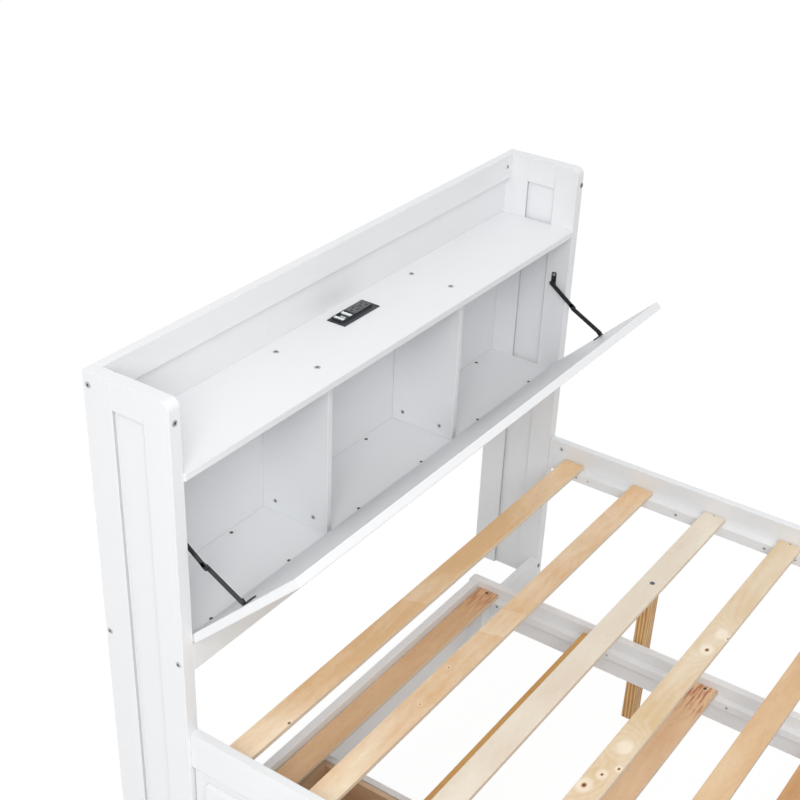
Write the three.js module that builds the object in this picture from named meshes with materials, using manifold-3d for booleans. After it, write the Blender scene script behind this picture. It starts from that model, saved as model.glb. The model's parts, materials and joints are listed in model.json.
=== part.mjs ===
// Full-size bed with a storage headboard, a slatted frame and a trundle with drawers.
// Millimetres, +Z up. The headboard's back is at +Y, the foot end at -Y, and the trundle
// pulls out toward -X. The origin lies on the floor in the middle of the bed's outline.
// The drop-down door is drawn half open on its two folding stays.

import * as THREE from 'three';
import { mergeVertices } from 'three/addons/utils/BufferGeometryUtils.js';
import Module from 'manifold-3d';

const wasm = await Module();
wasm.setup();

// Mattress space and overall size
const mattressWidth = 1372;
const mattressPlay = 7;
const sideRailThickness = 20;
const sideRailInset = 7;
const railLength = 1920;
const headboardHeight = 1197;
const headboardDepth = 200;

// Headboard: side frames, rails and boards
const sidePanelThickness = 29;
const sidePanelSetback = 8;
const backStileWidth = 66;
const frontStileWidth = 60;
const topRailHeight = 59;
const frontCornerRadius = 18;
const headboardRailThickness = 20;
const boardThickness = 15;
const backPanelThickness = 5;
const shelfDrop = 151;
const shelfOverhang = 3;
const cabinetHeight = 367;
const middleBayWidth = 466;
const dividerSetBack = 3.5;
const frontRailLip = 1;
const frontRailHeight = 60;
const backLowerRailHeight = 53;
const cleatDepth = 15;
const cleatHeight = 15;
const stretcherHeight = 70;

// Power outlet let into the shelf
const outletCentreX = -2.7;
const outletCentreDepth = 56.4;
const outletLength = 125;
const outletWidth = 47;
const outletFlangeThickness = 2;
const outletLip = 4;
const outletBodyHeight = 36;
const outletRise = 4.5;
const outletRiseEndMargin = 9.2;
const outletRiseBackMargin = 4.5;
const outletRiseFrontMargin = 12.5;
const outletPocketWall = 1.5;
const outletPocketDepth = 10;
const outletFaceRecess = 0.5;
const portPocketShare = 0.41;
const socketPlaceShares = [0.588, 0.832];
const slotLength = 7;
const slotWidth = 2.4;
const slotPitch = 13;
const earthHoleRadius = 2.4;
const earthHoleShift = 12.5;
const faceOpeningDepth = 5;
const portBarShare = 0.25;
const portBarRise = 3;
const portLength = 14;
const portWidth = 6;

// Drop-down door, hinges and stays
const doorThickness = 18;
const doorEndGap = 2;
const doorTopGap = 5;
const doorBottomGap = 3.6;
const doorOpenAngle = 45.4;
const doorEdgeChamfer = 4;
const hingeEndGap = 18;
const hingeKnuckleCount = 9;
const hingeLeafThickness = 1.2;
const hingeLeafReach = 15;
const hingeBarrelRadius = 2.6;
const hingeBoreRadius = 1.3;
const hingePinRadius = 1;
const stayTopPivotSetBack = 36.3;
const stayTopPivotShare = 0.643638;
const stayDoorPivotShare = 0.5014;
const stayUpperArmShare = 0.4766;
const staySlack = 0.46;
const stayDoorPivotOffset = 7;
const stayArmThickness = 3;
const stayArmHalfWidth = 5.5;
const stayArmSpacing = 0.5;
const stayWallDistance = 9;
const stayRivetRadius = 3;
const stayRivetHeadRadius = 4.5;
const stayRivetHeadThickness = 1.5;
const stayPlateThickness = 2.5;
const stayPlateWidth = 13;
const stayPlateHeight = 36;
const stayPlateBelowPivot = 10;
const stayFootLength = 24;
const stayFootHeight = 16;
const stayEarThickness = 2.5;
const stayEarMargin = 5;

// Bed frame
const sideRailBottom = 372;
const sideRailHeight = 88;
const slatLedgerWidth = 25;
const slatLedgerHeight = 28;
const slatLedgerSetIn = 4;
const slatTopDrop = 44;
const slatThickness = 12;
const slatWidth = 56.5;
const slatFirstGap = 50.7;
const slatPitch = 198.8;
const slatEndGap = 2;
const footPostThickness = 25;
const footPostWidth = 60;
const footRailThickness = 20;
const supportLegWidth = 44;
const supportLegDepth = 28;
const supportLegGap = 15;
const supportLegForward = 6;
const supportLegSlat = 3;

// Trundle
const trundleWidth = 1036;
const trundleEndGap = 3;
const trundleBoardThickness = 20;
const trundleTop = 250;
const farRailHeight = 107;
const farRailSetback = 12;
const farRailCornerRadius = 12;
const faceBoardThickness = 15;
const faceBoardTopGap = 7;
const faceBoardEndReach = 22;
const bayTop = 152;
const faceBoardLap = 2;
const trundleFloorGap = 12;
const trundleLedgerWidth = 20;
const trundleLedgerHeight = 20;
const trundleSlatTopDrop = 18;
const trundleSlatThickness = 12;
const trundleSlatWidth = 55;
const trundleSlatGap = 3;
const trundleSlatEndGap = 1;
const trundleSlatCount = 7;
const trundleSlatHousing = 1;
const cornerPostWidth = 40;

// Drawers and their runners
const drawerFrontThickness = 12;
const drawerFrontTopGap = 25;
const drawerFrontBottom = 30;
const drawerFrontInset = 36;
const drawerFrontSpacing = 4;
const drawerBayDepth = 337;
const drawerCount = 3;
const drawerBoardThickness = 12;
const drawerBottomThickness = 5;
const drawerBottomSetUp = 7;
const drawerSillGap = 3;
const drawerBoxTopGap = 2;
const drawerBackGap = 1;
const drawerSideGap = 12;
const runnerPlay = 0.5;
const runnerFootWidth = 12;
const runnerUpright = 25;
const runnerWheelGap = 2.2;
const runnerFootThickness = 7.5;

// Wheels, each turned in one piece with the axle that runs in the end board
const wheelRadius = 17.5;
const wheelWidth = 14;
const wheelEdgeRadius = 2;
const wheelSideGap = 1;
const nearWheelSetIn = 58;
const axleRadius = 4;
const axleEndSetIn = 1;
const postWheelGap = 3;

// Running clearance, how far a cutter runs past what it cuts, how far joined boards lap, and
// the sides of a round piece
const pinClearance = 0.3;
const cutOverrun = 2;
const joinLap = 2;
const roundSides = 16;

// Sizes that follow
const frameInnerX = mattressWidth / 2 + mattressPlay;
const sideRailOuterX = frameInnerX + sideRailThickness;
const outerX = sideRailOuterX + sideRailInset;
const sideInnerX = outerX - sidePanelThickness;
const innerWidth = 2 * sideInnerX;
const footPostDepth = headboardDepth + railLength;
const overallLength = footPostDepth + footPostThickness;
const backY = overallLength / 2;
const topRailBottom = headboardHeight - topRailHeight;
const shelfTop = headboardHeight - shelfDrop;
const shelfBottom = shelfTop - boardThickness;
const cabinetFloorTop = shelfBottom - cabinetHeight;
const cabinetFloorBottom = cabinetFloorTop - boardThickness;
const backLowerRailBottom = cabinetFloorBottom - backLowerRailHeight;
const frontRailDepth = headboardDepth - headboardRailThickness;
const frontRailTop = cabinetFloorTop + frontRailLip;
const frontRailBottom = frontRailTop - frontRailHeight;
const dividerX = (middleBayWidth + boardThickness) / 2;
const hingeAxisHeight = frontRailTop + doorBottomGap / 2;
const doorBottom = doorBottomGap / 2;
const doorTop = shelfBottom - doorTopGap - hingeAxisHeight;
const doorHalfLength = sideInnerX - doorEndGap;
const stayTopPivotHeight = hingeAxisHeight + stayTopPivotShare * (shelfBottom - hingeAxisHeight);
const stayDoorPivotHeight = doorBottom + stayDoorPivotShare * (doorTop - doorBottom);
const sideRailTop = sideRailBottom + sideRailHeight;
const slatTop = sideRailTop - slatTopDrop;
const slatBottom = slatTop - slatThickness;
const slatLedgerBottom = slatBottom - slatLedgerHeight;
const slatCount = Math.floor((railLength - slatFirstGap - slatWidth) / slatPitch) + 1;

// Materials
const white = { color: 0xf1f1ef, roughness: 0.42, metalness: 0 };
const slatWood = { color: 0xdcc091, roughness: 0.6, metalness: 0 };
const pine = { color: 0xe6cfa2, roughness: 0.6, metalness: 0 };
const drawerWood = { color: 0xc9a878, roughness: 0.65, metalness: 0 };
const hingeSteel = { color: 0xb9bcbc, roughness: 0.35, metalness: 1 };
const blackSteel = { color: 0x27282a, roughness: 0.45, metalness: 0.6 };
const blackPlastic = { color: 0x1d1e20, roughness: 0.4, metalness: 0 };
const whitePlastic = { color: 0xeceded, roughness: 0.4, metalness: 0 };
const greyNylon = { color: 0x44464a, roughness: 0.55, metalness: 0 };

const bed = new THREE.Group();
const unitX = new THREE.Vector3(1, 0, 0);
const unitY = new THREE.Vector3(0, 1, 0);
const unitZ = new THREE.Vector3(0, 0, 1);
const toHead = unitY;
const toFoot = unitY.clone().negate();
const outward = { left: unitX.clone().negate(), right: unitX };
const inward = { left: unitX, right: outward.left };
const sideSign = { left: -1, right: 1 };
const sides = ['left', 'right'];

function place(name, geometry, look, parent = bed) {
  const mesh = new THREE.Mesh(geometry, new THREE.MeshStandardMaterial(look));
  mesh.name = name;
  parent.add(mesh);
}

// A depth is measured from the headboard's back face toward the foot.
function depthToY(depth) {
  return backY - depth;
}

function lowHigh(a, b) {
  return [Math.min(a, b), Math.max(a, b)];
}

// A box by its faces: a unit box whose corners are set to the exact values, so that faces
// that share a value touch without a gap or an overlap.
function box(x0, x1, y0, y1, z0, z1) {
  const geometry = new THREE.BoxGeometry(1, 1, 1);
  const place3 = geometry.getAttribute('position');
  for (let i = 0; i < place3.count; i += 1) {
    const x = place3.getX(i) < 0 ? x0 : x1;
    const y = place3.getY(i) < 0 ? y0 : y1;
    const z = place3.getZ(i) < 0 ? z0 : z1;
    place3.setXYZ(i, x, y, z);
  }
  return geometry;
}

function board(x0, x1, depth0, depth1, z0, z1) {
  return box(x0, x1, depthToY(depth1), depthToY(depth0), z0, z1);
}

// An outline extruded by one, whose two faces are then set to the exact values.
function unitExtrusion(shape, setPoint) {
  const options = { depth: 1, bevelEnabled: false, curveSegments: roundSides / 4 };
  const geometry = new THREE.ExtrudeGeometry(shape, options);
  const place3 = geometry.getAttribute('position');
  for (let i = 0; i < place3.count; i += 1) {
    const [x, y, z] = setPoint(place3.getX(i), place3.getY(i), place3.getZ(i) > 0);
    place3.setXYZ(i, x, y, z);
  }
  return geometry;
}

// An outline drawn in y and z, from x0 to x1.
function alongX(shape, x0, x1) {
  return unitExtrusion(shape, (u, v, far) => [far ? x1 : x0, u, v]);
}

// An outline drawn in x and z, from y0 to y1.
function alongY(shape, y0, y1) {
  return unitExtrusion(shape, (u, v, far) => [u, far ? y0 : y1, v]);
}

function outline(points) {
  return new THREE.Shape(points.map(([u, v]) => new THREE.Vector2(u, v)));
}

// A round piece from a profile of [radius, height], standing on a point and facing a direction.
function turned(profile, at, direction, facets = roundSides) {
  const points = profile.map(([radius, height]) => new THREE.Vector2(radius, height));
  const geometry = new THREE.LatheGeometry(points, facets);
  geometry.applyQuaternion(new THREE.Quaternion().setFromUnitVectors(unitY, direction));
  geometry.translate(at.x, at.y, at.z);
  return geometry;
}

function rod(radius, from, to, at, direction) {
  return turned([[0, from], [radius, from], [radius, to], [0, to]], at, direction);
}

// A closed geometry as a solid for cutting and joining, and the result as a geometry again.
function solid(geometry) {
  const plain = geometry.clone();
  plain.deleteAttribute('normal');
  plain.deleteAttribute('uv');
  const merged = mergeVertices(plain);
  const vertProperties = new Float32Array(merged.attributes.position.array);
  const triVerts = new Uint32Array(merged.index.array);
  return new wasm.Manifold(new wasm.Mesh({ numProp: 3, vertProperties, triVerts }));
}

function surface(body) {
  const mesh = body.getMesh();
  const geometry = new THREE.BufferGeometry();
  geometry.setAttribute('position', new THREE.BufferAttribute(new Float32Array(mesh.vertProperties), 3));
  geometry.setIndex(new THREE.BufferAttribute(new Uint32Array(mesh.triVerts), 1));
  return geometry;
}

function cut(geometry, cutters) {
  let body = solid(geometry);
  for (const cutter of cutters) body = body.subtract(solid(cutter));
  return surface(body);
}

function join(geometries) {
  let body = solid(geometries[0]);
  for (const other of geometries.slice(1)) body = body.add(solid(other));
  return surface(body);
}

// Headboard side frames: a back stile, a front stile with a rounded top corner, and between
// them a thinner panel, set back from both faces, under a top rail of full thickness.
function frontStileOutline() {
  const back = depthToY(headboardDepth - frontStileWidth);
  const front = depthToY(headboardDepth);
  const centreY = front + frontCornerRadius;
  const centreZ = headboardHeight - frontCornerRadius;
  const shape = new THREE.Shape();
  shape.moveTo(front, 0);
  shape.lineTo(back, 0);
  shape.lineTo(back, headboardHeight);
  shape.absarc(centreY, centreZ, frontCornerRadius, Math.PI / 2, Math.PI, false);
  return shape;
}

for (const side of sides) {
  const [x0, x1] = lowHigh(sideSign[side] * sideInnerX, sideSign[side] * outerX);
  const frontStileBack = headboardDepth - frontStileWidth;
  place(`${side}_back_stile`, board(x0, x1, 0, backStileWidth, 0, headboardHeight), white);
  place(`${side}_front_stile`, alongX(frontStileOutline(), x0, x1), white);
  place(`${side}_side_panel`, join([
    board(x0 + sidePanelSetback, x1 - sidePanelSetback, backStileWidth, frontStileBack, 0,
      topRailBottom + joinLap),
    board(x0, x1, backStileWidth, frontStileBack, topRailBottom, headboardHeight),
  ]), white);
}

// Headboard back: a top rail, a lower rail and a thin panel let in between them.
place('back_top_rail', board(-sideInnerX, sideInnerX, 0, headboardRailThickness,
  topRailBottom, headboardHeight), white);
place('back_lower_rail', board(-sideInnerX, sideInnerX, 0, headboardRailThickness,
  backLowerRailBottom, cabinetFloorBottom), white);
place('back_panel', board(-sideInnerX, sideInnerX, 0, backPanelThickness,
  cabinetFloorBottom, topRailBottom), white);

// Cabinet: a floor board on the back rail and on the front rail's ledge, two dividers, a
// stretcher down at the floor, and the shelf on top.
place('cabinet_floor', board(-sideInnerX, sideInnerX, backPanelThickness, frontRailDepth,
  cabinetFloorBottom, cabinetFloorTop), white);
for (const side of sides) {
  const centre = sideSign[side] * dividerX;
  place(`${side}_divider`, board(centre - boardThickness / 2, centre + boardThickness / 2,
    backPanelThickness, frontRailDepth - dividerSetBack, cabinetFloorTop, shelfBottom), white);
}

function frontRailOutline() {
  const front = depthToY(headboardDepth);
  const back = depthToY(frontRailDepth);
  const ledgeBack = back + cleatDepth;
  const ledgeLow = cabinetFloorBottom - cleatHeight;
  return outline([
    [front, frontRailBottom], [back, frontRailBottom], [back, ledgeLow], [ledgeBack, ledgeLow],
    [ledgeBack, cabinetFloorBottom], [back, cabinetFloorBottom], [back, frontRailTop],
    [front + doorEdgeChamfer, frontRailTop], [front, frontRailTop - doorEdgeChamfer],
  ]);
}
place('front_lower_rail', alongX(frontRailOutline(), -sideInnerX, sideInnerX), white);
place('floor_stretcher', board(-sideInnerX, sideInnerX, frontRailDepth, headboardDepth,
  0, stretcherHeight), white);

const outletX0 = outletCentreX - outletLength / 2;
const outletX1 = outletCentreX + outletLength / 2;
const outletDepth0 = outletCentreDepth - outletWidth / 2;
const outletDepth1 = outletCentreDepth + outletWidth / 2;
const holeLip = outletLip - pinClearance;
const shelfHole = board(outletX0 + holeLip, outletX1 - holeLip, outletDepth0 + holeLip,
  outletDepth1 - holeLip, shelfBottom - cutOverrun, shelfTop + cutOverrun);
place('shelf', cut(board(-sideInnerX, sideInnerX, backPanelThickness,
  headboardDepth + shelfOverhang, shelfBottom, shelfTop), [shelfHole]), white);

// Power outlet: a housing with a flange resting on the shelf and a raised block on it. Two
// sockets are moulded in the block's top, and beside them a pocket holds the charging face:
// two bars with a port between them.
const flangeTop = shelfTop + outletFlangeThickness;
const riseTop = flangeTop + outletRise;
const riseX0 = outletX0 + outletRiseEndMargin;
const riseX1 = outletX1 - outletRiseEndMargin;
const riseDepth0 = outletDepth0 + outletRiseBackMargin;
const riseDepth1 = outletDepth1 - outletRiseFrontMargin;
const riseCentreDepth = (riseDepth0 + riseDepth1) / 2;
const pocketX0 = riseX0 + outletPocketWall;
const pocketX1 = outletX0 + portPocketShare * outletLength;
const pocketDepth0 = riseDepth0 + outletPocketWall;
const pocketDepth1 = riseDepth1 - outletPocketWall;
const pocketFloor = riseTop - outletPocketDepth;

function outletOpening(x, depth, lengthX, lengthY, top) {
  return board(x - lengthX / 2, x + lengthX / 2, depth - lengthY / 2, depth + lengthY / 2,
    top - faceOpeningDepth, top + cutOverrun);
}

const socketCutters = socketPlaceShares.flatMap((share) => {
  const x = outletX0 + share * outletLength;
  const earthAt = new THREE.Vector3(x - earthHoleShift, depthToY(riseCentreDepth), riseTop);
  return [
    outletOpening(x, riseCentreDepth - slotPitch / 2, slotLength, slotWidth, riseTop),
    outletOpening(x, riseCentreDepth + slotPitch / 2, slotLength, slotWidth, riseTop),
    rod(earthHoleRadius, -faceOpeningDepth, cutOverrun, earthAt, unitZ),
  ];
});
place('outlet_housing', cut(join([
  board(outletX0 + outletLip, outletX1 - outletLip, outletDepth0 + outletLip,
    outletDepth1 - outletLip, flangeTop - outletBodyHeight, flangeTop),
  board(outletX0, outletX1, outletDepth0, outletDepth1, shelfTop, flangeTop),
  board(riseX0, riseX1, riseDepth0, riseDepth1, flangeTop - joinLap, riseTop),
]), [
  board(pocketX0, pocketX1, pocketDepth0, pocketDepth1, pocketFloor, riseTop + cutOverrun),
  ...socketCutters,
]), blackPlastic);

const portFaceTop = riseTop - outletFaceRecess;
const portBaseTop = portFaceTop - portBarRise;
const portX0 = pocketX0 + pinClearance;
const portX1 = pocketX1 - pinClearance;
const portDepth0 = pocketDepth0 + pinClearance;
const portDepth1 = pocketDepth1 - pinClearance;
const portBarWidth = portBarShare * (portX1 - portX0);
place('outlet_port_face', cut(join([
  board(portX0, portX1, portDepth0, portDepth1, pocketFloor, portBaseTop),
  board(portX0, portX0 + portBarWidth, portDepth0, portDepth1, portBaseTop - joinLap, portFaceTop),
  board(portX1 - portBarWidth, portX1, portDepth0, portDepth1, portBaseTop - joinLap, portFaceTop),
]), [
  outletOpening((portX0 + portX1) / 2, riseCentreDepth, portWidth, portLength, portBaseTop),
]), whitePlastic);

// Door: one long board whose outer lower edge is eased round the hinge barrel. It is drawn
// shut, about the hinge's axis, and its group turns it to the half-open rest position.
const hingeAxis = new THREE.Vector3(0, depthToY(headboardDepth), hingeAxisHeight);
const doorGroup = new THREE.Group();
doorGroup.position.copy(hingeAxis);
doorGroup.rotation.x = THREE.MathUtils.degToRad(doorOpenAngle);
bed.add(doorGroup);
const railHingeGroup = new THREE.Group();
railHingeGroup.position.copy(hingeAxis);
bed.add(railHingeGroup);
place('door_panel', alongX(outline([
  [doorEdgeChamfer, doorBottom], [doorThickness, doorBottom], [doorThickness, doorTop],
  [0, doorTop], [0, doorBottom + doorEdgeChamfer],
]), -doorHalfLength, doorHalfLength), white, doorGroup);

// Long hinge: one leaf on the front rail and one under the door, with knuckles in turn on
// one pin. The door's leaf has the odd knuckles, both end ones among them.
const hingeHalfLength = doorHalfLength - hingeEndGap;
const knuckleLength = 2 * hingeHalfLength / hingeKnuckleCount;
const leafReachStart = hingeBarrelRadius + pinClearance;

// A leaf lies between two heights above the axis and holds every second knuckle.
function hingeLeaf(low, high, firstKnuckle) {
  const parts = [box(-hingeHalfLength, hingeHalfLength, leafReachStart, hingeLeafReach, low, high)];
  const bores = [];
  for (let index = firstKnuckle; index < hingeKnuckleCount; index += 2) {
    const from = -hingeHalfLength + index * knuckleLength + pinClearance / 2;
    const to = from + knuckleLength - pinClearance;
    const at = new THREE.Vector3(from, 0, 0);
    parts.push(box(from, to, 0, leafReachStart + hingeLeafThickness, low, high));
    parts.push(rod(hingeBarrelRadius, 0, to - from, at, unitX));
    bores.push(rod(hingeBoreRadius, -cutOverrun, to - from + cutOverrun, at, unitX));
  }
  return cut(join(parts), bores);
}

const doorLeafHigh = doorBottom - pinClearance;
place('hinge_door_leaf', hingeLeaf(doorLeafHigh - hingeLeafThickness, doorLeafHigh, 0),
  hingeSteel, doorGroup);
const railLeafLow = frontRailTop - hingeAxisHeight;
place('hinge_rail_leaf', hingeLeaf(railLeafLow, railLeafLow + hingeLeafThickness, 1),
  hingeSteel, railHingeGroup);
place('hinge_pin', rod(hingePinRadius, -hingeHalfLength, hingeHalfLength, new THREE.Vector3(), unitX),
  hingeSteel, railHingeGroup);

// Folding stays. The upper arm turns on a plate on the side frame, the lower arm on a bracket
// on the door's inner face, and the two meet at a knuckle that folds down and back.
const topPivot = new THREE.Vector2(depthToY(headboardDepth - stayTopPivotSetBack), stayTopPivotHeight);
const doorPivotLocal = new THREE.Vector2(doorThickness + stayDoorPivotOffset, stayDoorPivotHeight);

const doorPivot = doorPivotLocal.clone()
  .rotateAround(new THREE.Vector2(), THREE.MathUtils.degToRad(doorOpenAngle))
  .add(new THREE.Vector2(hingeAxis.y, hingeAxis.z));

// At the stop the two arms are a little longer together than the distance between their
// pivots. The knuckle is where their circles cross, on the lower side of the line of pivots.
const stayLine = doorPivot.clone().sub(topPivot);
const staySpan = stayLine.length();
const stayUpperLength = stayUpperArmShare * (staySpan + staySlack);
const stayLowerLength = staySpan + staySlack - stayUpperLength;
const knuckleAlong = (stayUpperLength ** 2 - stayLowerLength ** 2 + staySpan ** 2) / (2 * staySpan);
const knuckleOff = Math.sqrt(stayUpperLength ** 2 - knuckleAlong ** 2);
const stayDirection = stayLine.clone().divideScalar(staySpan);
const stayAcross = new THREE.Vector2(-stayDirection.y, stayDirection.x);
const knuckle = topPivot.clone().addScaledVector(stayDirection, knuckleAlong)
  .addScaledVector(stayAcross, knuckleOff);

// An arm: a flat bar with round ends between two points, bored at its first point, with a
// rivet head standing on one face at the second.
function stayArm(bored, free, x0, x1, headX, headOut) {
  const direction = free.clone().sub(bored);
  const angle = Math.atan2(direction.y, direction.x);
  const quarter = Math.PI / 2;
  const shape = new THREE.Shape();
  shape.absarc(bored.x, bored.y, stayArmHalfWidth, angle + quarter, angle + 3 * quarter, false);
  shape.absarc(free.x, free.y, stayArmHalfWidth, angle - quarter, angle + quarter, false);
  const boreAt = new THREE.Vector3(x0, bored.x, bored.y);
  const headAt = new THREE.Vector3(headX, free.x, free.y);
  return cut(join([
    alongX(shape, x0, x1),
    rod(stayRivetHeadRadius, -stayArmThickness / 2, stayRivetHeadThickness, headAt, headOut),
  ]), [rod(stayRivetRadius + pinClearance, -cutOverrun, x1 - x0 + cutOverrun, boreAt, unitX)]);
}

const plateX = sideInnerX - stayPlateThickness;
const upperFarX = sideInnerX - stayWallDistance;
const upperNearX = upperFarX - stayArmThickness;
const lowerFarX = upperNearX - stayArmSpacing;
const lowerNearX = lowerFarX - stayArmThickness;
const earOuterX = lowerNearX - pinClearance;
const earInnerX = earOuterX - stayEarThickness;

for (const side of sides) {
  const sign = sideSign[side];
  const [u0, u1] = lowHigh(sign * upperNearX, sign * upperFarX);
  const [l0, l1] = lowHigh(sign * lowerNearX, sign * lowerFarX);
  place(`${side}_upper_stay_arm`,
    stayArm(topPivot, knuckle, u0, u1, sign * upperFarX, outward[side]), blackSteel);
  place(`${side}_lower_stay_arm`,
    stayArm(doorPivot, knuckle, l0, l1, sign * lowerNearX, inward[side]), blackSteel);

  // Side plate with a boss, and a rivet through the upper arm.
  const [p0, p1] = lowHigh(sign * plateX, sign * sideInnerX);
  const plateBottom = stayTopPivotHeight - stayPlateBelowPivot;
  const plateAt = new THREE.Vector3(sign * plateX, topPivot.x, topPivot.y);
  const bossEnd = plateX - upperFarX - pinClearance;
  const shankEnd = plateX - upperNearX + pinClearance;
  place(`${side}_stay_side_plate`, join([
    box(p0, p1, topPivot.x - stayPlateWidth / 2, topPivot.x + stayPlateWidth / 2,
      plateBottom, plateBottom + stayPlateHeight),
    rod(stayArmHalfWidth, -stayPlateThickness / 2, bossEnd, plateAt, inward[side]),
    rod(stayRivetRadius, 0, shankEnd + stayRivetHeadThickness / 2, plateAt, inward[side]),
    rod(stayRivetHeadRadius, shankEnd, shankEnd + stayRivetHeadThickness, plateAt, inward[side]),
  ]), blackSteel);

  // Door bracket: a foot on the door's inner face, an ear, and a rivet through the lower arm.
  const [f0, f1] = lowHigh(sign * (earInnerX - stayFootLength), sign * earOuterX);
  const [e0, e1] = lowHigh(sign * earInnerX, sign * earOuterX);
  const pivotY = doorPivotLocal.x;
  const pivotZ = doorPivotLocal.y;
  const footFace = doorThickness + pinClearance;
  const earAt = new THREE.Vector3(sign * earOuterX, pivotY, pivotZ);
  const rivetEnd = lowerFarX - earOuterX;
  place(`${side}_stay_door_bracket`, join([
    box(f0, f1, footFace, footFace + stayPlateThickness, pivotZ - stayFootHeight / 2,
      pivotZ + stayFootHeight / 2),
    box(e0, e1, footFace, pivotY + stayEarMargin, pivotZ - stayArmHalfWidth, pivotZ + stayArmHalfWidth),
    rod(stayRivetRadius, -stayEarThickness / 2, rivetEnd, earAt, outward[side]),
  ]), blackSteel, doorGroup);
}

// Bed frame: side rails with ledgers that begin under the first slat, a foot end of two posts
// and a rail, slats and a leg.
for (const side of sides) {
  const sign = sideSign[side];
  const [r0, r1] = lowHigh(sign * frameInnerX, sign * sideRailOuterX);
  const [l0, l1] = lowHigh(sign * frameInnerX, sign * (frameInnerX - slatLedgerWidth));
  place(`${side}_side_rail`, board(r0, r1, headboardDepth, footPostDepth,
    sideRailBottom, sideRailTop), white);
  const ledgerStart = headboardDepth + slatFirstGap + slatLedgerSetIn;
  place(`${side}_slat_ledger`, board(l0, l1, ledgerStart, footPostDepth,
    slatLedgerBottom, slatBottom), white);
}
const footInnerX = outerX - footPostWidth;
place('foot_board', join([
  board(-outerX, -footInnerX, footPostDepth, overallLength, 0, sideRailTop),
  board(footInnerX, outerX, footPostDepth, overallLength, 0, sideRailTop),
  board(-footInnerX - joinLap, footInnerX + joinLap, footPostDepth,
    footPostDepth + footRailThickness, sideRailBottom, sideRailTop),
]), white);

const slatHalfLength = frameInnerX - slatEndGap;
const slatStarts = Array.from({ length: slatCount }, (_, index) => (
  headboardDepth + slatFirstGap + index * slatPitch
));
slatStarts.forEach((start, index) => {
  place(`slat_${index + 1}`, board(-slatHalfLength, slatHalfLength, start, start + slatWidth,
    slatBottom, slatTop), slatWood);
});
const farRailOuterX = trundleWidth - outerX;
const supportLegX0 = farRailOuterX + supportLegGap;
const leggedSlatStart = slatStarts[Math.min(supportLegSlat, slatCount) - 1];
const supportLegDepth0 = leggedSlatStart + (slatWidth - supportLegDepth) / 2 - supportLegForward;
place('support_leg', board(supportLegX0, supportLegX0 + supportLegWidth, supportLegDepth0,
  supportLegDepth0 + supportLegDepth, 0, slatBottom), pine);

// Trundle frame: a far rail, two end boards and slats on ledgers.
const faceFrontX = drawerFrontThickness - outerX;
const faceBackX = faceFrontX + faceBoardThickness;
const farRailInnerX = farRailOuterX - trundleBoardThickness;
const faceStart = headboardDepth + trundleEndGap;
const faceEnd = footPostDepth - trundleEndGap;
const headOuter = faceStart + faceBoardEndReach;
const headInner = headOuter + trundleBoardThickness;
const footOuter = faceEnd - faceBoardEndReach;
const footInner = footOuter - trundleBoardThickness;
const runnerFootLow = 2 * wheelRadius + runnerWheelGap;
const runnerFootTop = runnerFootLow + runnerFootThickness;
const drawerBoxBottom = runnerFootTop + pinClearance;
const sillTop = drawerBoxBottom - drawerSillGap;
const openingTop = bayTop - faceBoardLap;
const bayBackX = faceBackX + drawerBayDepth;

function farRailOutline() {
  const low = trundleTop - farRailHeight;
  const head = depthToY(faceStart + farRailSetback);
  const foot = depthToY(faceEnd - farRailSetback);
  const radius = farRailCornerRadius;
  const shape = new THREE.Shape();
  shape.moveTo(foot, low);
  shape.lineTo(head, low);
  shape.absarc(head - radius, trundleTop - radius, radius, 0, Math.PI / 2, false);
  shape.absarc(foot + radius, trundleTop - radius, radius, Math.PI / 2, Math.PI, false);
  return shape;
}
place('trundle_far_rail', alongX(farRailOutline(), farRailInnerX, farRailOuterX), white);

const trundleSlatTop = trundleTop - trundleSlatTopDrop;
const trundleSlatBottom = trundleSlatTop - trundleSlatThickness;
const ledgerTop = trundleSlatBottom + trundleSlatHousing;
const ledgerBottom = ledgerTop - trundleLedgerHeight;
const slatRun = footInner - headInner - 2 * trundleSlatGap - trundleSlatWidth;
const trundleSlats = Array.from({ length: trundleSlatCount }, (_, index) => {
  const start = headInner + trundleSlatGap + index * slatRun / (trundleSlatCount - 1);
  return board(faceBackX + trundleSlatEndGap, farRailInnerX - trundleSlatEndGap, start,
    start + trundleSlatWidth, trundleSlatBottom, trundleSlatTop);
});
place('trundle_slat_deck', join([
  board(faceBackX, faceBackX + trundleLedgerWidth, headInner, footInner, ledgerBottom, ledgerTop),
  board(farRailInnerX - trundleLedgerWidth, farRailInnerX, headInner, footInner, ledgerBottom, ledgerTop),
  ...trundleSlats,
]), slatWood);

// End boards come forward between the face boards. Each has a post in its far corner and is
// bored for its two wheels, which are turned in one piece with their axles.
const endBoardOutline = outline([
  [faceBackX, openingTop], [faceFrontX, openingTop], [faceFrontX, sillTop], [faceBackX, sillTop],
  [faceBackX, trundleFloorGap], [farRailInnerX, trundleFloorGap], [farRailInnerX, trundleTop],
  [faceBackX, trundleTop],
]);
const wheelXs = { near: faceFrontX + nearWheelSetIn, far: farRailInnerX - cornerPostWidth / 2 };
const postBottom = 2 * wheelRadius + postWheelGap;
const boreDepth = trundleBoardThickness + cutOverrun;

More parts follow.
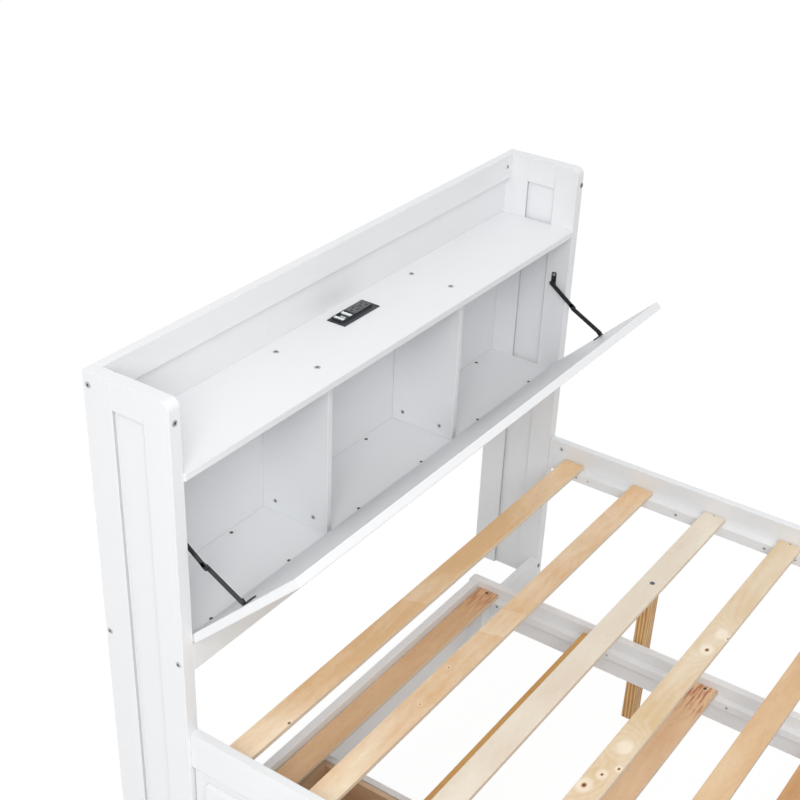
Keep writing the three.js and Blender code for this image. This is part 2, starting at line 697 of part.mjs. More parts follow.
function trundleEnd(end, outerDepth, innerDepth, inside) {
  const [y0, y1] = lowHigh(depthToY(outerDepth), depthToY(innerDepth));
  const innerY = depthToY(innerDepth);
  const towards = Math.sign(innerDepth - outerDepth);
  const [post0, post1] = lowHigh(innerDepth - towards * joinLap, innerDepth + towards * cornerPostWidth);
  const spots = Object.entries(wheelXs).map(([name, x]) => [name, new THREE.Vector3(x, innerY, wheelRadius)]);
  place(`trundle_${end}_board`, cut(join([
    alongY(endBoardOutline, y0, y1),
    board(farRailInnerX - cornerPostWidth, farRailInnerX, post0, post1, postBottom, ledgerBottom),
  ]), spots.map(([, at]) => (
    rod(axleRadius + pinClearance, -boreDepth, cutOverrun, at, inside)
  ))), white);
  const rimEnd = wheelSideGap + wheelWidth;
  const rim = wheelRadius - wheelEdgeRadius;
  for (const [name, at] of spots) {
    place(`${end}_${name}_wheel`, turned([
      [0, axleEndSetIn - trundleBoardThickness], [axleRadius, axleEndSetIn - trundleBoardThickness],
      [axleRadius, wheelSideGap], [rim, wheelSideGap], [wheelRadius, wheelSideGap + wheelEdgeRadius],
      [wheelRadius, rimEnd - wheelEdgeRadius], [rim, rimEnd], [0, rimEnd],
    ], at, inside, 2 * roundSides), greyNylon);
  }
}
trundleEnd('head', headOuter, headInner, toFoot);
trundleEnd('foot', footOuter, footInner, toHead);

// Drawer bay: a tall face board, a sill, partitions, a back board and L-shaped runners.
const bayLength = (footInner - headInner - (drawerCount - 1) * boardThickness) / drawerCount;
const bayStarts = Array.from({ length: drawerCount }, (_, index) => (
  headInner + index * (bayLength + boardThickness)
));

// A runner's section: an upright against the bay's wall and a foot under the drawer's side.
function runner(wallDepth, step) {
  const wall = depthToY(wallDepth);
  const face = wall + step * (drawerSideGap - runnerPlay);
  const toe = wall + step * (drawerSideGap + runnerFootWidth);
  const top = drawerBoxBottom + runnerUpright;
  return alongX(outline([
    [wall, runnerFootLow], [toe, runnerFootLow], [toe, runnerFootTop], [face, runnerFootTop],
    [face, top], [wall, top],
  ]), faceBackX - joinLap, bayBackX + joinLap);
}
const runners = bayStarts.flatMap((start) => [runner(start, -1), runner(start + bayLength, 1)]);
place('drawer_bay', join([
  board(faceFrontX, faceBackX, faceStart, faceEnd, openingTop, sideRailBottom - faceBoardTopGap),
  ...bayStarts.slice(1).map((start) => board(faceFrontX, bayBackX + joinLap, start - boardThickness, start,
    trundleFloorGap, bayTop)),
  board(faceFrontX, faceBackX, faceStart, faceEnd, trundleFloorGap, sillTop),
  board(bayBackX, bayBackX + boardThickness, headInner, footInner, trundleFloorGap, bayTop),
  ...runners,
]), white);

// Drawers: an open box of thin boards behind an overlay front.
const drawerBoxTop = openingTop - drawerBoxTopGap;
const drawerBackX = bayBackX - drawerBackGap;
const frontTotal = faceEnd - faceStart - 2 * drawerFrontInset;
const frontLength = (frontTotal - (drawerCount - 1) * drawerFrontSpacing) / drawerCount;
bayStarts.forEach((start, index) => {
  const boxStart = start + drawerSideGap;
  const boxEnd = start + bayLength - drawerSideGap;
  const inner0 = boxStart + drawerBoardThickness;
  const inner1 = boxEnd - drawerBoardThickness;
  const innerX0 = faceFrontX + drawerBoardThickness;
  const innerX1 = drawerBackX - drawerBoardThickness;
  const bottomLow = drawerBoxBottom + drawerBottomSetUp;
  place(`drawer_box_${index + 1}`, cut(
    board(faceFrontX, drawerBackX, boxStart, boxEnd, drawerBoxBottom, drawerBoxTop), [
      board(innerX0, innerX1, inner0, inner1, bottomLow + drawerBottomThickness, drawerBoxTop + cutOverrun),
      board(innerX0, innerX1, inner0, inner1, drawerBoxBottom - cutOverrun, bottomLow),
    ],
  ), drawerWood);
  const frontStart = faceStart + drawerFrontInset + index * (frontLength + drawerFrontSpacing);
  place(`drawer_front_${index + 1}`, board(-outerX, faceFrontX, frontStart, frontStart + frontLength,
    drawerFrontBottom, sideRailBottom - drawerFrontTopGap), white);
});

export default bed;
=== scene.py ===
"""A full-size bed with a cabinet headboard, a drop-down door on folding stays, and a trundle with
three drawers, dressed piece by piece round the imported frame. Metres, +Z up, headboard at +Y,
trundle toward -X. Depths are measured from the headboard's back face toward the foot.
"""

import json
import math

import bmesh
import bpy
import numpy as np
from mathutils import Matrix, Vector


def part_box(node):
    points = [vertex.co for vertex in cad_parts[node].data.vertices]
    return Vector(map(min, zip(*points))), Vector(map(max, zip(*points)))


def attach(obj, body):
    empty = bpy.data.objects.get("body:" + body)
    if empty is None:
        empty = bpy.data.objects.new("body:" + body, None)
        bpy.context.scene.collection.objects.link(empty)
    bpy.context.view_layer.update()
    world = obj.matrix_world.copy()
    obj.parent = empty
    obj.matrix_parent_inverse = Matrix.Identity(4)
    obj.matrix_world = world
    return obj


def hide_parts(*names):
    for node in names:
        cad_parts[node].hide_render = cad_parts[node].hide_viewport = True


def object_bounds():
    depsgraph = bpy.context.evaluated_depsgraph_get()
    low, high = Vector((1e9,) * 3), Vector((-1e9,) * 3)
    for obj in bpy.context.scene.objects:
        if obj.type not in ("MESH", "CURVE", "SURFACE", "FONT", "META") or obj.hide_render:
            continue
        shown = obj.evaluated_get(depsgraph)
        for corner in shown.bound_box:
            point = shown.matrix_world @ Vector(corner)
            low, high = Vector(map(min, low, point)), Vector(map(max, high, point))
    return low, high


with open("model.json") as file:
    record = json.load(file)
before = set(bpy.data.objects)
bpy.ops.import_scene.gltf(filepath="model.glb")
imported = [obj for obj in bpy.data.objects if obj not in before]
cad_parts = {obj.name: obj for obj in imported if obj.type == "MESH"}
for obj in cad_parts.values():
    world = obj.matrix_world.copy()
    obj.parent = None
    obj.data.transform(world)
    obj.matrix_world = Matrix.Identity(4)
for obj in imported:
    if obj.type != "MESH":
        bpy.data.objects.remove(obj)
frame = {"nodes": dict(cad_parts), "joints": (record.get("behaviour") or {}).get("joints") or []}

cad_box = [list(corner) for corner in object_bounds()]
back_y = cad_box[1][1]
outer_x = cad_box[1][0]


# Side frames of the headboard: a back stile, a front stile with a rounded top corner, a thinner
# panel set back between them, and a top rail. Solid pine, painted white, with a faint grain
# showing through the paint, glued into two frames and bolted to the boards between them.
def rounded(points, radii, steps=2):
    """An outline with rounded corners. At each corner the arc's centre lies on the bisector, one
    radius from both edges, and the arc's points turn from one edge's normal to the next one's.
    Gives the points and their outward normals."""
    corner = np.asarray(points, float)
    following = np.roll(corner, -1, axis=0)
    area = np.sum(corner[:, 0] * following[:, 1] - corner[:, 1] * following[:, 0])
    radius = np.broadcast_to(np.asarray(radii, float), len(corner))[:, None]
    if area < 0:
        corner = corner[::-1]
        radius = radius[::-1]
    leaving = np.roll(corner, -1, axis=0) - corner
    leaving /= np.linalg.norm(leaving, axis=1, keepdims=True)
    arriving = np.roll(leaving, 1, axis=0)
    normal_in = np.stack([arriving[:, 1], -arriving[:, 0]], axis=1)
    normal_out = np.stack([leaving[:, 1], -leaving[:, 0]], axis=1)
    cross = arriving[:, 0] * leaving[:, 1] - arriving[:, 1] * leaving[:, 0]
    dot = np.sum(arriving * leaving, axis=1)
    turn = np.arctan2(cross, dot)
    sign = np.sign(turn)[:, None]
    centre = corner - sign * radius * (normal_in + normal_out) / (1 + dot[:, None])
    start = np.arctan2(normal_in[:, 1], normal_in[:, 0])
    angle = start[:, None] + turn[:, None] * np.linspace(0, 1, steps + 1)
    normals = np.stack([np.cos(angle), np.sin(angle)], axis=2)
    rim = centre[:, None] + (sign * radius)[:, None] * normals
    return rim.reshape(-1, 2), normals.reshape(-1, 2)


def rectangle(low, high):
    """A rectangle's corners, from its lowest one and its highest one."""
    return [(low[0], low[1]), (high[0], low[1]), (high[0], high[1]), (low[0], high[1])]


def ring_faces(rings, count):
    """Quads between rings of points, each ring joined to the next one and closed on itself."""
    ring, point = np.meshgrid(np.arange(rings - 1) * count, np.arange(count), indexing="ij")
    after = (point + 1) % count
    quads = [ring + point, ring + after, ring + count + after, ring + count + point]
    return np.stack(quads, axis=2).reshape(-1, 4).tolist()


def slab(outline, low, high, ease, steps=2, caps=True):
    """A plate from its outline and two levels, with eased rims: toward each face the outline is
    drawn in along its normals by the ease times one less the sine of an angle, while the level
    moves by the ease times one less its cosine."""
    rim, normals = outline
    angle = np.linspace(0, math.pi / 2, steps + 1)
    inset = ease * (1 - np.sin(angle))
    rise = ease * (1 - np.cos(angle))
    insets = np.concatenate([inset, inset[::-1]])[:, None, None]
    levels = np.concatenate([low + rise, high - rise[::-1]])
    flat = rim - insets * normals
    height = np.broadcast_to(levels[:, None, None], (len(levels), len(rim), 1))
    points = np.concatenate([flat, height], axis=2).reshape(-1, 3)
    faces = ring_faces(len(levels), len(rim))
    if caps:
        last = (len(levels) - 1) * len(rim)
        faces.append(list(range(len(rim)))[::-1])
        faces.append(list(range(last, last + len(rim))))
    return points, faces


AXIS_ORDER = {"x": [2, 0, 1], "y": [0, 2, 1]}


def stand(shape, axis):
    """Turns a plate drawn flat so that its thickness runs along an axis: an outline in y and z
    for x, and in x and z for y."""
    points, faces = shape
    return points[:, AXIS_ORDER[axis]], faces


def block(low, high, ease):
    """A board from its lowest and highest corners, every edge eased."""
    return slab(rounded(rectangle(low, high), ease), low[2], high[2], ease)


def together(shapes):
    """Several shapes as one list of points and faces."""
    points = []
    faces = []
    for shape_points, shape_faces in shapes:
        first = sum(len(p) for p in points)
        points.append(shape_points)
        faces.extend([[first + i for i in face] for face in shape_faces])
    return np.concatenate(points), faces


MERGE_DISTANCE = 1e-6
AREA_WEIGHT = 100


def piece(name, shape, material, body, nodes=()):
    """Makes one piece: a mesh with its doubles merged and its faces turned outward, that rides
    on a body and stands for the nodes it replaces."""
    points, faces = shape
    mesh = bpy.data.meshes.new(name)
    mesh.from_pydata(np.asarray(points).tolist(), [], faces)
    work = bmesh.new()
    work.from_mesh(mesh)
    bmesh.ops.remove_doubles(work, verts=work.verts, dist=MERGE_DISTANCE)
    bmesh.ops.recalc_face_normals(work, faces=work.faces)
    work.to_mesh(mesh)
    work.free()
    mesh.polygons.foreach_set("use_smooth", [True] * len(mesh.polygons))
    mesh.materials.append(material)
    made = bpy.data.objects.new(name, mesh)
    bpy.context.scene.collection.objects.link(made)
    weighted = made.modifiers.new("flat_faces", "WEIGHTED_NORMAL")
    weighted.weight = AREA_WEIGHT
    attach(made, body)
    if nodes:
        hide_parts(*nodes)
    return made


def board(node, ease, material, body="frame"):
    """A painted board that fills a node's own box."""
    piece(node + "_board", block(*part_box(node), ease), material, body, [node])


def put(tree, kind, inputs=None, **settings):
    """Adds a shader node with its settings; an input takes a value or another node's output."""
    made = tree.nodes.new("ShaderNode" + kind)
    for key, value in settings.items():
        setattr(made, key, value)
    for key, value in (inputs or {}).items():
        if isinstance(value, bpy.types.NodeSocket):
            tree.links.new(value, made.inputs[key])
        else:
            made.inputs[key].default_value = value
    return made


def calc(tree, operation, *values):
    """A maths node on two or three values."""
    return put(tree, "Math", dict(enumerate(values)), operation=operation).outputs[0]


def between(tree, share, low, high):
    """A value that goes from one level to another as a share goes from 0 to 1."""
    return calc(tree, "MULTIPLY_ADD", share, high - low, low)


def sway(tree, value, middle, weight, base):
    """A base moved by how far a value lies from its middle, times a weight."""
    return calc(tree, "MULTIPLY_ADD", calc(tree, "SUBTRACT", value, middle), weight, base)


def stretch(tree, place, scale):
    """A place scaled along each axis."""
    return put(tree, "VectorMath", {0: place, 1: scale}, operation="MULTIPLY").outputs[0]


def noise(tree, place, scale, detail=2, roughness=0.5):
    """Noise with so many features to the metre."""
    made = put(tree, "TexNoise", {"Vector": place, "Scale": scale, "Detail": detail, "Roughness": roughness})
    return made.outputs[0]


def grain(tree, place, along, across, detail=2, roughness=0.5):
    """Noise drawn out along x: its features to the metre along the grain and across it."""
    return noise(tree, stretch(tree, place, (along, across, across)), 1, detail, roughness)


def toned(tree, colour, tone):
    """A colour made lighter or darker by a factor."""
    return put(tree, "VectorMath", {0: colour, "Scale": tone}, operation="SCALE").outputs[0]


def mix_colour(tree, share, first, second, blend="MIX"):
    made = put(tree, "Mix", {0: share, 6: first, 7: second}, data_type="RGBA", blend_type=blend)
    return made.outputs[2]


def new_group(name, **inputs):
    """A shader node group with named inputs, that gives a surface's colour, roughness and
    height; gives its tree and what it is given."""
    tree = bpy.data.node_groups.new(name, "ShaderNodeTree")
    for label, kind in inputs.items():
        tree.interface.new_socket(label, in_out="INPUT", socket_type="NodeSocket" + kind)
    for label, kind in (("Colour", "Color"), ("Roughness", "Float"), ("Height", "Float")):
        tree.interface.new_socket(label, in_out="OUTPUT", socket_type="NodeSocket" + kind)
    return tree, tree.nodes.new("NodeGroupInput").outputs


def end_group(tree, colour, roughness, height):
    """Joins what a group makes to its three outputs."""
    result = tree.nodes.new("NodeGroupOutput").inputs
    tree.links.new(colour, result["Colour"])
    tree.links.new(roughness, result["Roughness"])
    tree.links.new(height, result["Height"])


def new_material(name):
    """A material with its Principled shader; gives the material, its tree, the shader and the
    place on the object."""
    made = bpy.data.materials.new(name)
    made.use_nodes = True
    tree = made.node_tree
    return made, tree, tree.nodes["Principled BSDF"], put(tree, "TexCoord").outputs["Object"]


def dress(tree, shader, group, inputs, strength, depth, over=None):
    """Puts a surface group on the shader, with its height as a bump; another function may lay
    more over its colour."""
    skin = put(tree, "Group", inputs, node_tree=group).outputs
    colour = over(skin["Colour"]) if over else skin["Colour"]
    tree.links.new(colour, shader.inputs["Base Color"])
    tree.links.new(skin["Roughness"], shader.inputs["Roughness"])
    bump = put(tree, "Bump", {"Height": skin["Height"], "Strength": strength, "Distance": depth})
    tree.links.new(bump.outputs[0], shader.inputs["Normal"])


CLOUD_TONE = 0.03
STREAK_TONE = 0.16
PEEL_HEIGHT = 0.12
PAINT_ROUGHNESS = (0.33, 0.45)
PAINT_BUMP = 0.15
PAINT_DEPTH = 0.0003
PAINT_WHITE = (0.815, 0.825, 0.838, 1)
GRAIN_TURN = {"x": (0, 0, 0), "y": (0, 0, math.pi / 2), "z": (0, math.pi / 2, 0)}

paint_film, given = new_group("paint_film", Place="Vector", Colour="Color", Grain="Float")
streaks = grain(paint_film, given["Place"], along=1.6, across=75, detail=4, roughness=0.6)
fine_streaks = grain(paint_film, given["Place"], along=9, across=420)
cloud = noise(paint_film, given["Place"], scale=2.3)
peel = noise(paint_film, given["Place"], scale=650, detail=1)
shown = calc(paint_film, "MULTIPLY", calc(paint_film, "SUBTRACT", streaks, 0.5), given["Grain"])
tone = sway(paint_film, cloud, 0.5, CLOUD_TONE, 1.0)
tone = calc(paint_film, "MULTIPLY_ADD", shown, STREAK_TONE, tone)
height = calc(paint_film, "MULTIPLY", calc(paint_film, "ADD", streaks, fine_streaks), given["Grain"])
end_group(paint_film, toned(paint_film, given["Colour"], tone), between(paint_film, cloud, *PAINT_ROUGHNESS),
          calc(paint_film, "MULTIPLY_ADD", peel, PEEL_HEIGHT, height))


def painted(name, grain_axis, strength, colour=PAINT_WHITE):
    """Satin paint; the grain shows through along one axis by the given strength."""
    made, tree, shader, here = new_material(name)
    turned = put(tree, "Mapping", {"Vector": here, "Rotation": GRAIN_TURN[grain_axis]}).outputs[0]
    inputs = {"Place": turned, "Colour": colour, "Grain": strength}
    dress(tree, shader, paint_film, inputs, PAINT_BUMP, PAINT_DEPTH)
    return made


painted_upright = painted("painted_pine_upright", "z", 0.2)
painted_across = painted("painted_pine_across", "x", 0.22)
painted_along = painted("painted_pine_along", "y", 0.22)
painted_board = painted("painted_smooth_board", "x", 0.08)
# Grey for the painted shade laid on the back stile's steps to the panel.
painted_step_shade = painted("step_shade_grey", "z", 0.1, (0.50, 0.52, 0.545, 1))

FRAME_EASE = 0.0009
JOINT_EASE = 0.0003
TOP_CORNER = 0.018
TOP_RAIL_HEIGHT = 0.059
PANEL_SETBACK = 0.008
PANEL_LAP = 0.0015
# Thickness of the grey sheets of painted shade on the steps.
STEP_SHADE_SHEET = 0.0003

for side in ("left", "right"):
    board(f"{side}_back_stile", FRAME_EASE, painted_upright)
    low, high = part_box(f"{side}_front_stile")
    radii = [FRAME_EASE, FRAME_EASE, FRAME_EASE, TOP_CORNER]
    outline = rounded(rectangle(low.yz, high.yz), radii, 8)
    piece(f"{side}_front_stile_board", stand(slab(outline, low.x, high.x, FRAME_EASE), "x"), painted_upright,
          "frame", [f"{side}_front_stile"])
    low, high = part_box(f"{side}_side_panel")
    rail_low = high.z - TOP_RAIL_HEIGHT
    panel = block((low.x + PANEL_SETBACK, low.y - PANEL_LAP, low.z),
                  (high.x - PANEL_SETBACK, high.y + PANEL_LAP, rail_low + PANEL_LAP), FRAME_EASE / 2)
    piece(f"{side}_side_panel_board", panel, painted_upright, "frame", [f"{side}_side_panel"])
    rail = block((low.x, low.y, rail_low), high, JOINT_EASE)
    piece(f"{side}_side_top_rail", rail, painted_along, "frame")
    # A thin grey sheet on each of the back stile's steps down to the panel is painted shade: the shadow line
    # of the panel's recess, not the paint's own colour.
    for face, start in (("left", low.x), ("right", high.x - PANEL_SETBACK)):
        step = block((start + FRAME_EASE, high.y - STEP_SHADE_SHEET, low.z),
                     (start + PANEL_SETBACK - FRAME_EASE, high.y + STEP_SHADE_SHEET, rail_low), STEP_SHADE_SHEET / 4)
        piece(f"{side}_stile_{face}_step", step, painted_step_shade, "frame")


# Back of the headboard: a top rail and a lower rail of pine, and between them a thin panel made
# of three boards side by side. Painted white; the two joints show as fine upright lines.
RAIL_EASE = 0.0012
PANEL_EASE = 0.0012
PANEL_JOINTS = (-0.233, 0.233)

for node in ("back_top_rail", "back_lower_rail"):
    board(node, RAIL_EASE, painted_across)
low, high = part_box("back_panel")
edges = [low.x, *PANEL_JOINTS, high.x]
for number, (start, end) in enumerate(zip(edges[:-1], edges[1:]), 1):
    shape = block((start, low.y, low.z), (end, high.y, high.z), PANEL_EASE)
    piece(f"back_panel_board_{number}", shape, painted_board, "frame", ["back_panel"])


# Cabinet: a floor board on the back rail and on the front rail's ledge, two dividers, a low
# stretcher at the floor, and the shelf with a hole for the outlet. Smooth painted board.
BOARD_EASE = 0.0012
HOLE_MARGIN = 0.0037
LEDGE_DEPTH = 0.015
LEDGE_HEIGHT = 0.015
FRONT_RAIL_CHAMFER = 0.004
FRONT_RAIL_LIP = 0.0005

for node in ("cabinet_floor", "left_divider", "right_divider", "floor_stretcher"):
    board(node, BOARD_EASE, painted_board)

low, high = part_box("front_lower_rail")
ledge_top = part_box("cabinet_floor")[0].z
rail_back = high.y - LEDGE_DEPTH
corners = [
    (low.y, low.z), (rail_back, low.z), (rail_back, ledge_top - LEDGE_HEIGHT),
    (high.y, ledge_top - LEDGE_HEIGHT), (high.y, ledge_top), (rail_back, ledge_top),
    (rail_back, high.z), (low.y + FRONT_RAIL_CHAMFER, high.z), (low.y, high.z - FRONT_RAIL_CHAMFER),
]
shape = stand(slab(rounded(corners, FRONT_RAIL_LIP), low.x, high.x, FRONT_RAIL_LIP), "x")
piece("front_lower_rail_board", shape, painted_across, "frame", ["front_lower_rail"])


def window_plate(low, high, hole_low, hole_high, ease):
    """A level plate with a square hole: the outer and the inner rim are eased plates' walls, and
    the top and bottom run from one rim to the other."""
    outside, faces = slab(rounded(rectangle(low, high), ease), low[2], high[2], ease, caps=False)
    rim, normals = rounded(rectangle(hole_low, hole_high), ease)
    inside, inner_faces = slab((rim, -normals), low[2], high[2], ease, caps=False)
    count = len(rim)
    first = len(outside)
    faces = faces + [[first + i for i in face[::-1]] for face in inner_faces]
    for start in (0, first - count):
        ends = [(start + i, start + (i + 1) % count) for i in range(count)]
        faces += [[a, b, first + b, first + a] for a, b in ends]
    return np.concatenate([outside, inside]), faces


outlet_low, outlet_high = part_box("outlet_housing")
hole_low = (outlet_low.x + HOLE_MARGIN, outlet_low.y + HOLE_MARGIN)
hole_high = (outlet_high.x - HOLE_MARGIN, outlet_high.y - HOLE_MARGIN)
piece("shelf_board", window_plate(*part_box("shelf"), hole_low, hole_high, BOARD_EASE / 2), painted_board,
      "frame", ["shelf"])


# Power outlet let into the shelf: a black moulded housing with two sockets, a raised bezel, and
# at its left end two pale strips with a charging port between them.
SMUDGE_TONE = (0.82, 1.17)
MOULDED_ROUGHNESS = (0.3, 0.5)
MOULDED_BUMP = 0.2

moulded_surface, given = new_group("moulded_surface", Place="Vector", Colour="Color", Pebbles="Float")
pebble = put(moulded_surface, "TexVoronoi", {"Vector": given["Place"], "Scale": given["Pebbles"]}).outputs[0]
smudge = noise(moulded_surface, given["Place"], scale=60, detail=3)
end_group(moulded_surface,
          toned(moulded_surface, given["Colour"], between(moulded_surface, smudge, *SMUDGE_TONE)),
          between(moulded_surface, smudge, *MOULDED_ROUGHNESS), pebble)


def moulded(name, colour, pebbles, depth, pads=(), pad_colour=(0, 0, 0, 1)):
    """Moulded plastic with so many pebbles to the metre and a slight unevenness of gloss. A pad
    is a level rectangle of another tone, given by its middle and its half sizes."""
    made, tree, shader, here = new_material(name)
    split = put(tree, "SeparateXYZ", {0: here}).outputs
    for middle, half in pads:
        inside = 1.0
        for along, centre, reach in zip(split, middle, half):
            inside = calc(tree, "MULTIPLY", inside, calc(tree, "COMPARE", along, centre, reach))
        colour = mix_colour(tree, inside, colour, pad_colour)
    inputs = {"Place": here, "Colour": colour, "Pebbles": pebbles}
    dress(tree, shader, moulded_surface, inputs, MOULDED_BUMP, depth)
    return made


SPANGLE_TONE = (0.88, 1.06)
ZINC_ROUGHNESS = (0.22, 0.47)
ZINC_BUMP = 0.15
ZINC_DEPTH = 0.0001

zinc_surface, given = new_group("zinc_surface", Place="Vector", Colour="Color")
spangle = put(zinc_surface, "TexVoronoi", {"Vector": given["Place"], "Scale": 240}).outputs[1]
brightness = put(zinc_surface, "SeparateColor", {"Color": spangle}).outputs[0]
scuffs = noise(zinc_surface, given["Place"], scale=480, detail=3)
end_group(zinc_surface,
          toned(zinc_surface, given["Colour"], between(zinc_surface, brightness, *SPANGLE_TONE)),
          between(zinc_surface, scuffs, *ZINC_ROUGHNESS), scuffs)


def plated(name, colour, metallic=1.0):
    """Plated or lacquered steel with a faint spangle and fine scuffs."""
    made, tree, shader, here = new_material(name)
    dress(tree, shader, zinc_surface, {"Place": here, "Colour": colour}, ZINC_BUMP, ZINC_DEPTH)
    shader.inputs["Metallic"].default_value = metallic
    return made


OUTLET_EASE = 0.0003
SOCKET_HALF = 0.0139
SOCKET_PLACES = (0.0041, 0.0344)
SOCKET_DEPTH = 0.0524
BAR_SHARE = 0.16
BAR_MARGIN_SHARE = 0.09
BAR_RISE = 0.003
PORT_HALF = (0.003, 0.007)
PORT_DROP = 0.004
PORT_WALL = 0.0006
TONGUE_HALF = 0.0015
SAME_PLANE = 0.01
SHARP_TURN = 0.5


def eased_copy(node, ease):
    """A CAD node's own shape with its doubles merged, its flat faces made whole and every sharp
    edge cut back by the ease. The bevel's points come in an order that changes from run to run,
    so points and faces are sorted."""
    work = bmesh.new()
    work.from_mesh(frame["nodes"][node].data)
    work.transform(frame["nodes"][node].matrix_world)
    bmesh.ops.remove_doubles(work, verts=work.verts, dist=MERGE_DISTANCE)
    bmesh.ops.dissolve_limit(work, angle_limit=SAME_PLANE, verts=work.verts, edges=work.edges)
    sharp = [edge for edge in work.edges if edge.calc_face_angle(0.0) > SHARP_TURN]
    bmesh.ops.bevel(work, geom=sharp, offset=ease, segments=2, profile=0.5, affect="EDGES")
    bmesh.ops.triangulate(work, faces=work.faces)
    work.verts.index_update()
    points = np.array([vertex.co for vertex in work.verts])
    order = np.lexsort(points.T)
    rank = np.argsort(order).tolist()
    faces = []
    for face in work.faces:
        corners = [rank[vertex.index] for vertex in face.verts]
        first = corners.index(min(corners))
        faces.append(corners[first:] + corners[:first])
    work.free()
    return points[order], sorted(faces)


socket_half = (SOCKET_HALF, SOCKET_HALF, OUTLET_EASE)
pads = [((x, back_y - SOCKET_DEPTH, outlet_high.z), socket_half) for x in SOCKET_PLACES]
outlet_black = moulded("outlet_black", (0.026, 0.031, 0.036, 1), pebbles=900, depth=0.0002, pads=pads,
                       pad_colour=(0.092, 0.100, 0.100, 1))
outlet_dark = moulded("outlet_dark", (0.026, 0.028, 0.030, 1), pebbles=900, depth=0.0002)
outlet_white = moulded("outlet_white", (0.84, 0.88, 0.89, 1), pebbles=700, depth=0.0001)
zinc = plated("zinc_plate", (0.52, 0.54, 0.55, 1))

piece("outlet_moulding", eased_copy("outlet_housing", OUTLET_EASE), outlet_black, "frame",
      ["outlet_housing"])
low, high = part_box("outlet_port_face")
base_top = high.z - BAR_RISE
middle = (np.array(low.xy) + np.array(high.xy)) / 2
port_low = middle - PORT_HALF
port_high = middle + PORT_HALF
base = window_plate(low, (high.x, high.y, base_top), port_low, port_high, OUTLET_EASE)
piece("outlet_port_base", base, outlet_dark, "frame", ["outlet_port_face"])
bar = BAR_SHARE * (high.x - low.x)
margin = BAR_MARGIN_SHARE * (high.x - low.x)
bars = [block((x, low.y, base_top), (x + bar, high.y, high.z), OUTLET_EASE)
        for x in (low.x + margin, high.x - margin - bar)]
piece("outlet_port_bars", together(bars), outlet_white, "frame", ["outlet_port_face"])
inner_low = port_low + PORT_WALL
inner_high = port_high - PORT_WALL
shell = window_plate((*port_low, base_top - PORT_DROP), (*port_high, base_top), inner_low, inner_high,
                     PORT_WALL / 4)
tongue = block((middle[0] - TONGUE_HALF, inner_low[1] + PORT_WALL, base_top - PORT_DROP),
               (middle[0] + TONGUE_HALF, inner_high[1] - PORT_WALL, base_top - PORT_WALL), PORT_WALL / 4)
piece("outlet_port_shell", shell, zinc, "frame", ["outlet_port_face"])
piece("outlet_port_tongue", tongue, outlet_white, "frame", ["outlet_port_face"])


# Door: one long painted board that drops open. It is drawn shut about the hinge's axis and
# turned out to the angle at which the stays hold it; its lower outer edge is eased for the hinge.
door_joint = next(joint for joint in frame["joints"] if joint["name"] == "door_swing")
door_angle = math.radians(door_joint["range_deg"][1])
door_axis = np.array(door_joint["pos_m"])
door_low, door_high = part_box("door_panel")
DOOR_THICKNESS = 0.018
DOOR_FOOT = 0.0018
DOOR_TOP_GAP = 0.005
DOOR_CHAMFER = 0.004
door_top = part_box("shelf")[0].z - DOOR_TOP_GAP - door_axis[2]


def on_door(shape):
    """Turns a shape that is drawn on the shut door, with the hinge's axis at zero, out to where
    the door stands at rest."""
    points, faces = shape
    cos, sin = math.cos(door_angle), math.sin(door_angle)
    turn = np.array([[1, 0, 0], [0, cos, -sin], [0, sin, cos]])
    return points @ turn.T + door_axis, faces


corners = [(DOOR_CHAMFER, DOOR_FOOT), (DOOR_THICKNESS, DOOR_FOOT), (DOOR_THICKNESS, door_top),
           (0, door_top), (0, DOOR_FOOT + DOOR_CHAMFER)]
shape = stand(slab(rounded(corners, BOARD_EASE, 3), door_low.x, door_high.x, BOARD_EASE), "x")
piece("door_board", on_door(shape), painted_board, "door", ["door_panel"])


# Long hinge between the front rail and the door: two zinc-plated leaves with knuckles that take
# turns on one pin, as on a piano lid. Each knuckle is a short tube.
KNUCKLES = 45
KNUCKLE_GAP = 0.0004
BARREL_RADIUS = 0.0026
LEAF_THICKNESS = 0.0012
LEAF_REACH = 0.015
LEAF_START = 0.0029
LEAF_GAP = 0.0003
HINGE_END_GAP = 0.018
hinge_half = door_high.x - HINGE_END_GAP
knuckle_length = 2 * hinge_half / KNUCKLES


def tube(start, end, radius, sides=16):
    """A round bar along x, from a circle whose normals are its own points over the radius."""
    angle = np.linspace(0, 2 * math.pi, sides, endpoint=False)
    circle = np.stack([np.cos(angle), np.sin(angle)], axis=1)
    return stand(slab((radius * circle, circle), start, end, radius / 8, 1), "x")


def hinge_leaf(low, high, first):
    """A leaf strip with every second knuckle, and a tongue from the strip to each knuckle."""
    shapes = [block((-hinge_half, LEAF_START, low), (hinge_half, LEAF_REACH, high), LEAF_THICKNESS / 4)]
    for index in range(first, KNUCKLES, 2):
        start = -hinge_half + index * knuckle_length + KNUCKLE_GAP / 2
        end = start + knuckle_length - KNUCKLE_GAP
        shapes.append(tube(start, end, BARREL_RADIUS))
        shapes.append(block((start, 0, low), (end, LEAF_START + LEAF_THICKNESS, high), LEAF_THICKNESS / 4))
    return together(shapes)


leaf_top = DOOR_FOOT - LEAF_GAP
piece("hinge_leaf_on_door", on_door(hinge_leaf(leaf_top - LEAF_THICKNESS, leaf_top, 0)), zinc, "door",
      ["hinge_door_leaf"])
points, faces = hinge_leaf(-DOOR_FOOT, LEAF_THICKNESS - DOOR_FOOT, 1)
piece("hinge_leaf_on_rail", (points + door_axis, faces), zinc, "frame", ["hinge_rail_leaf"])
frame["nodes"]["hinge_pin"].data.materials.clear()
frame["nodes"]["hinge_pin"].data.materials.append(zinc)


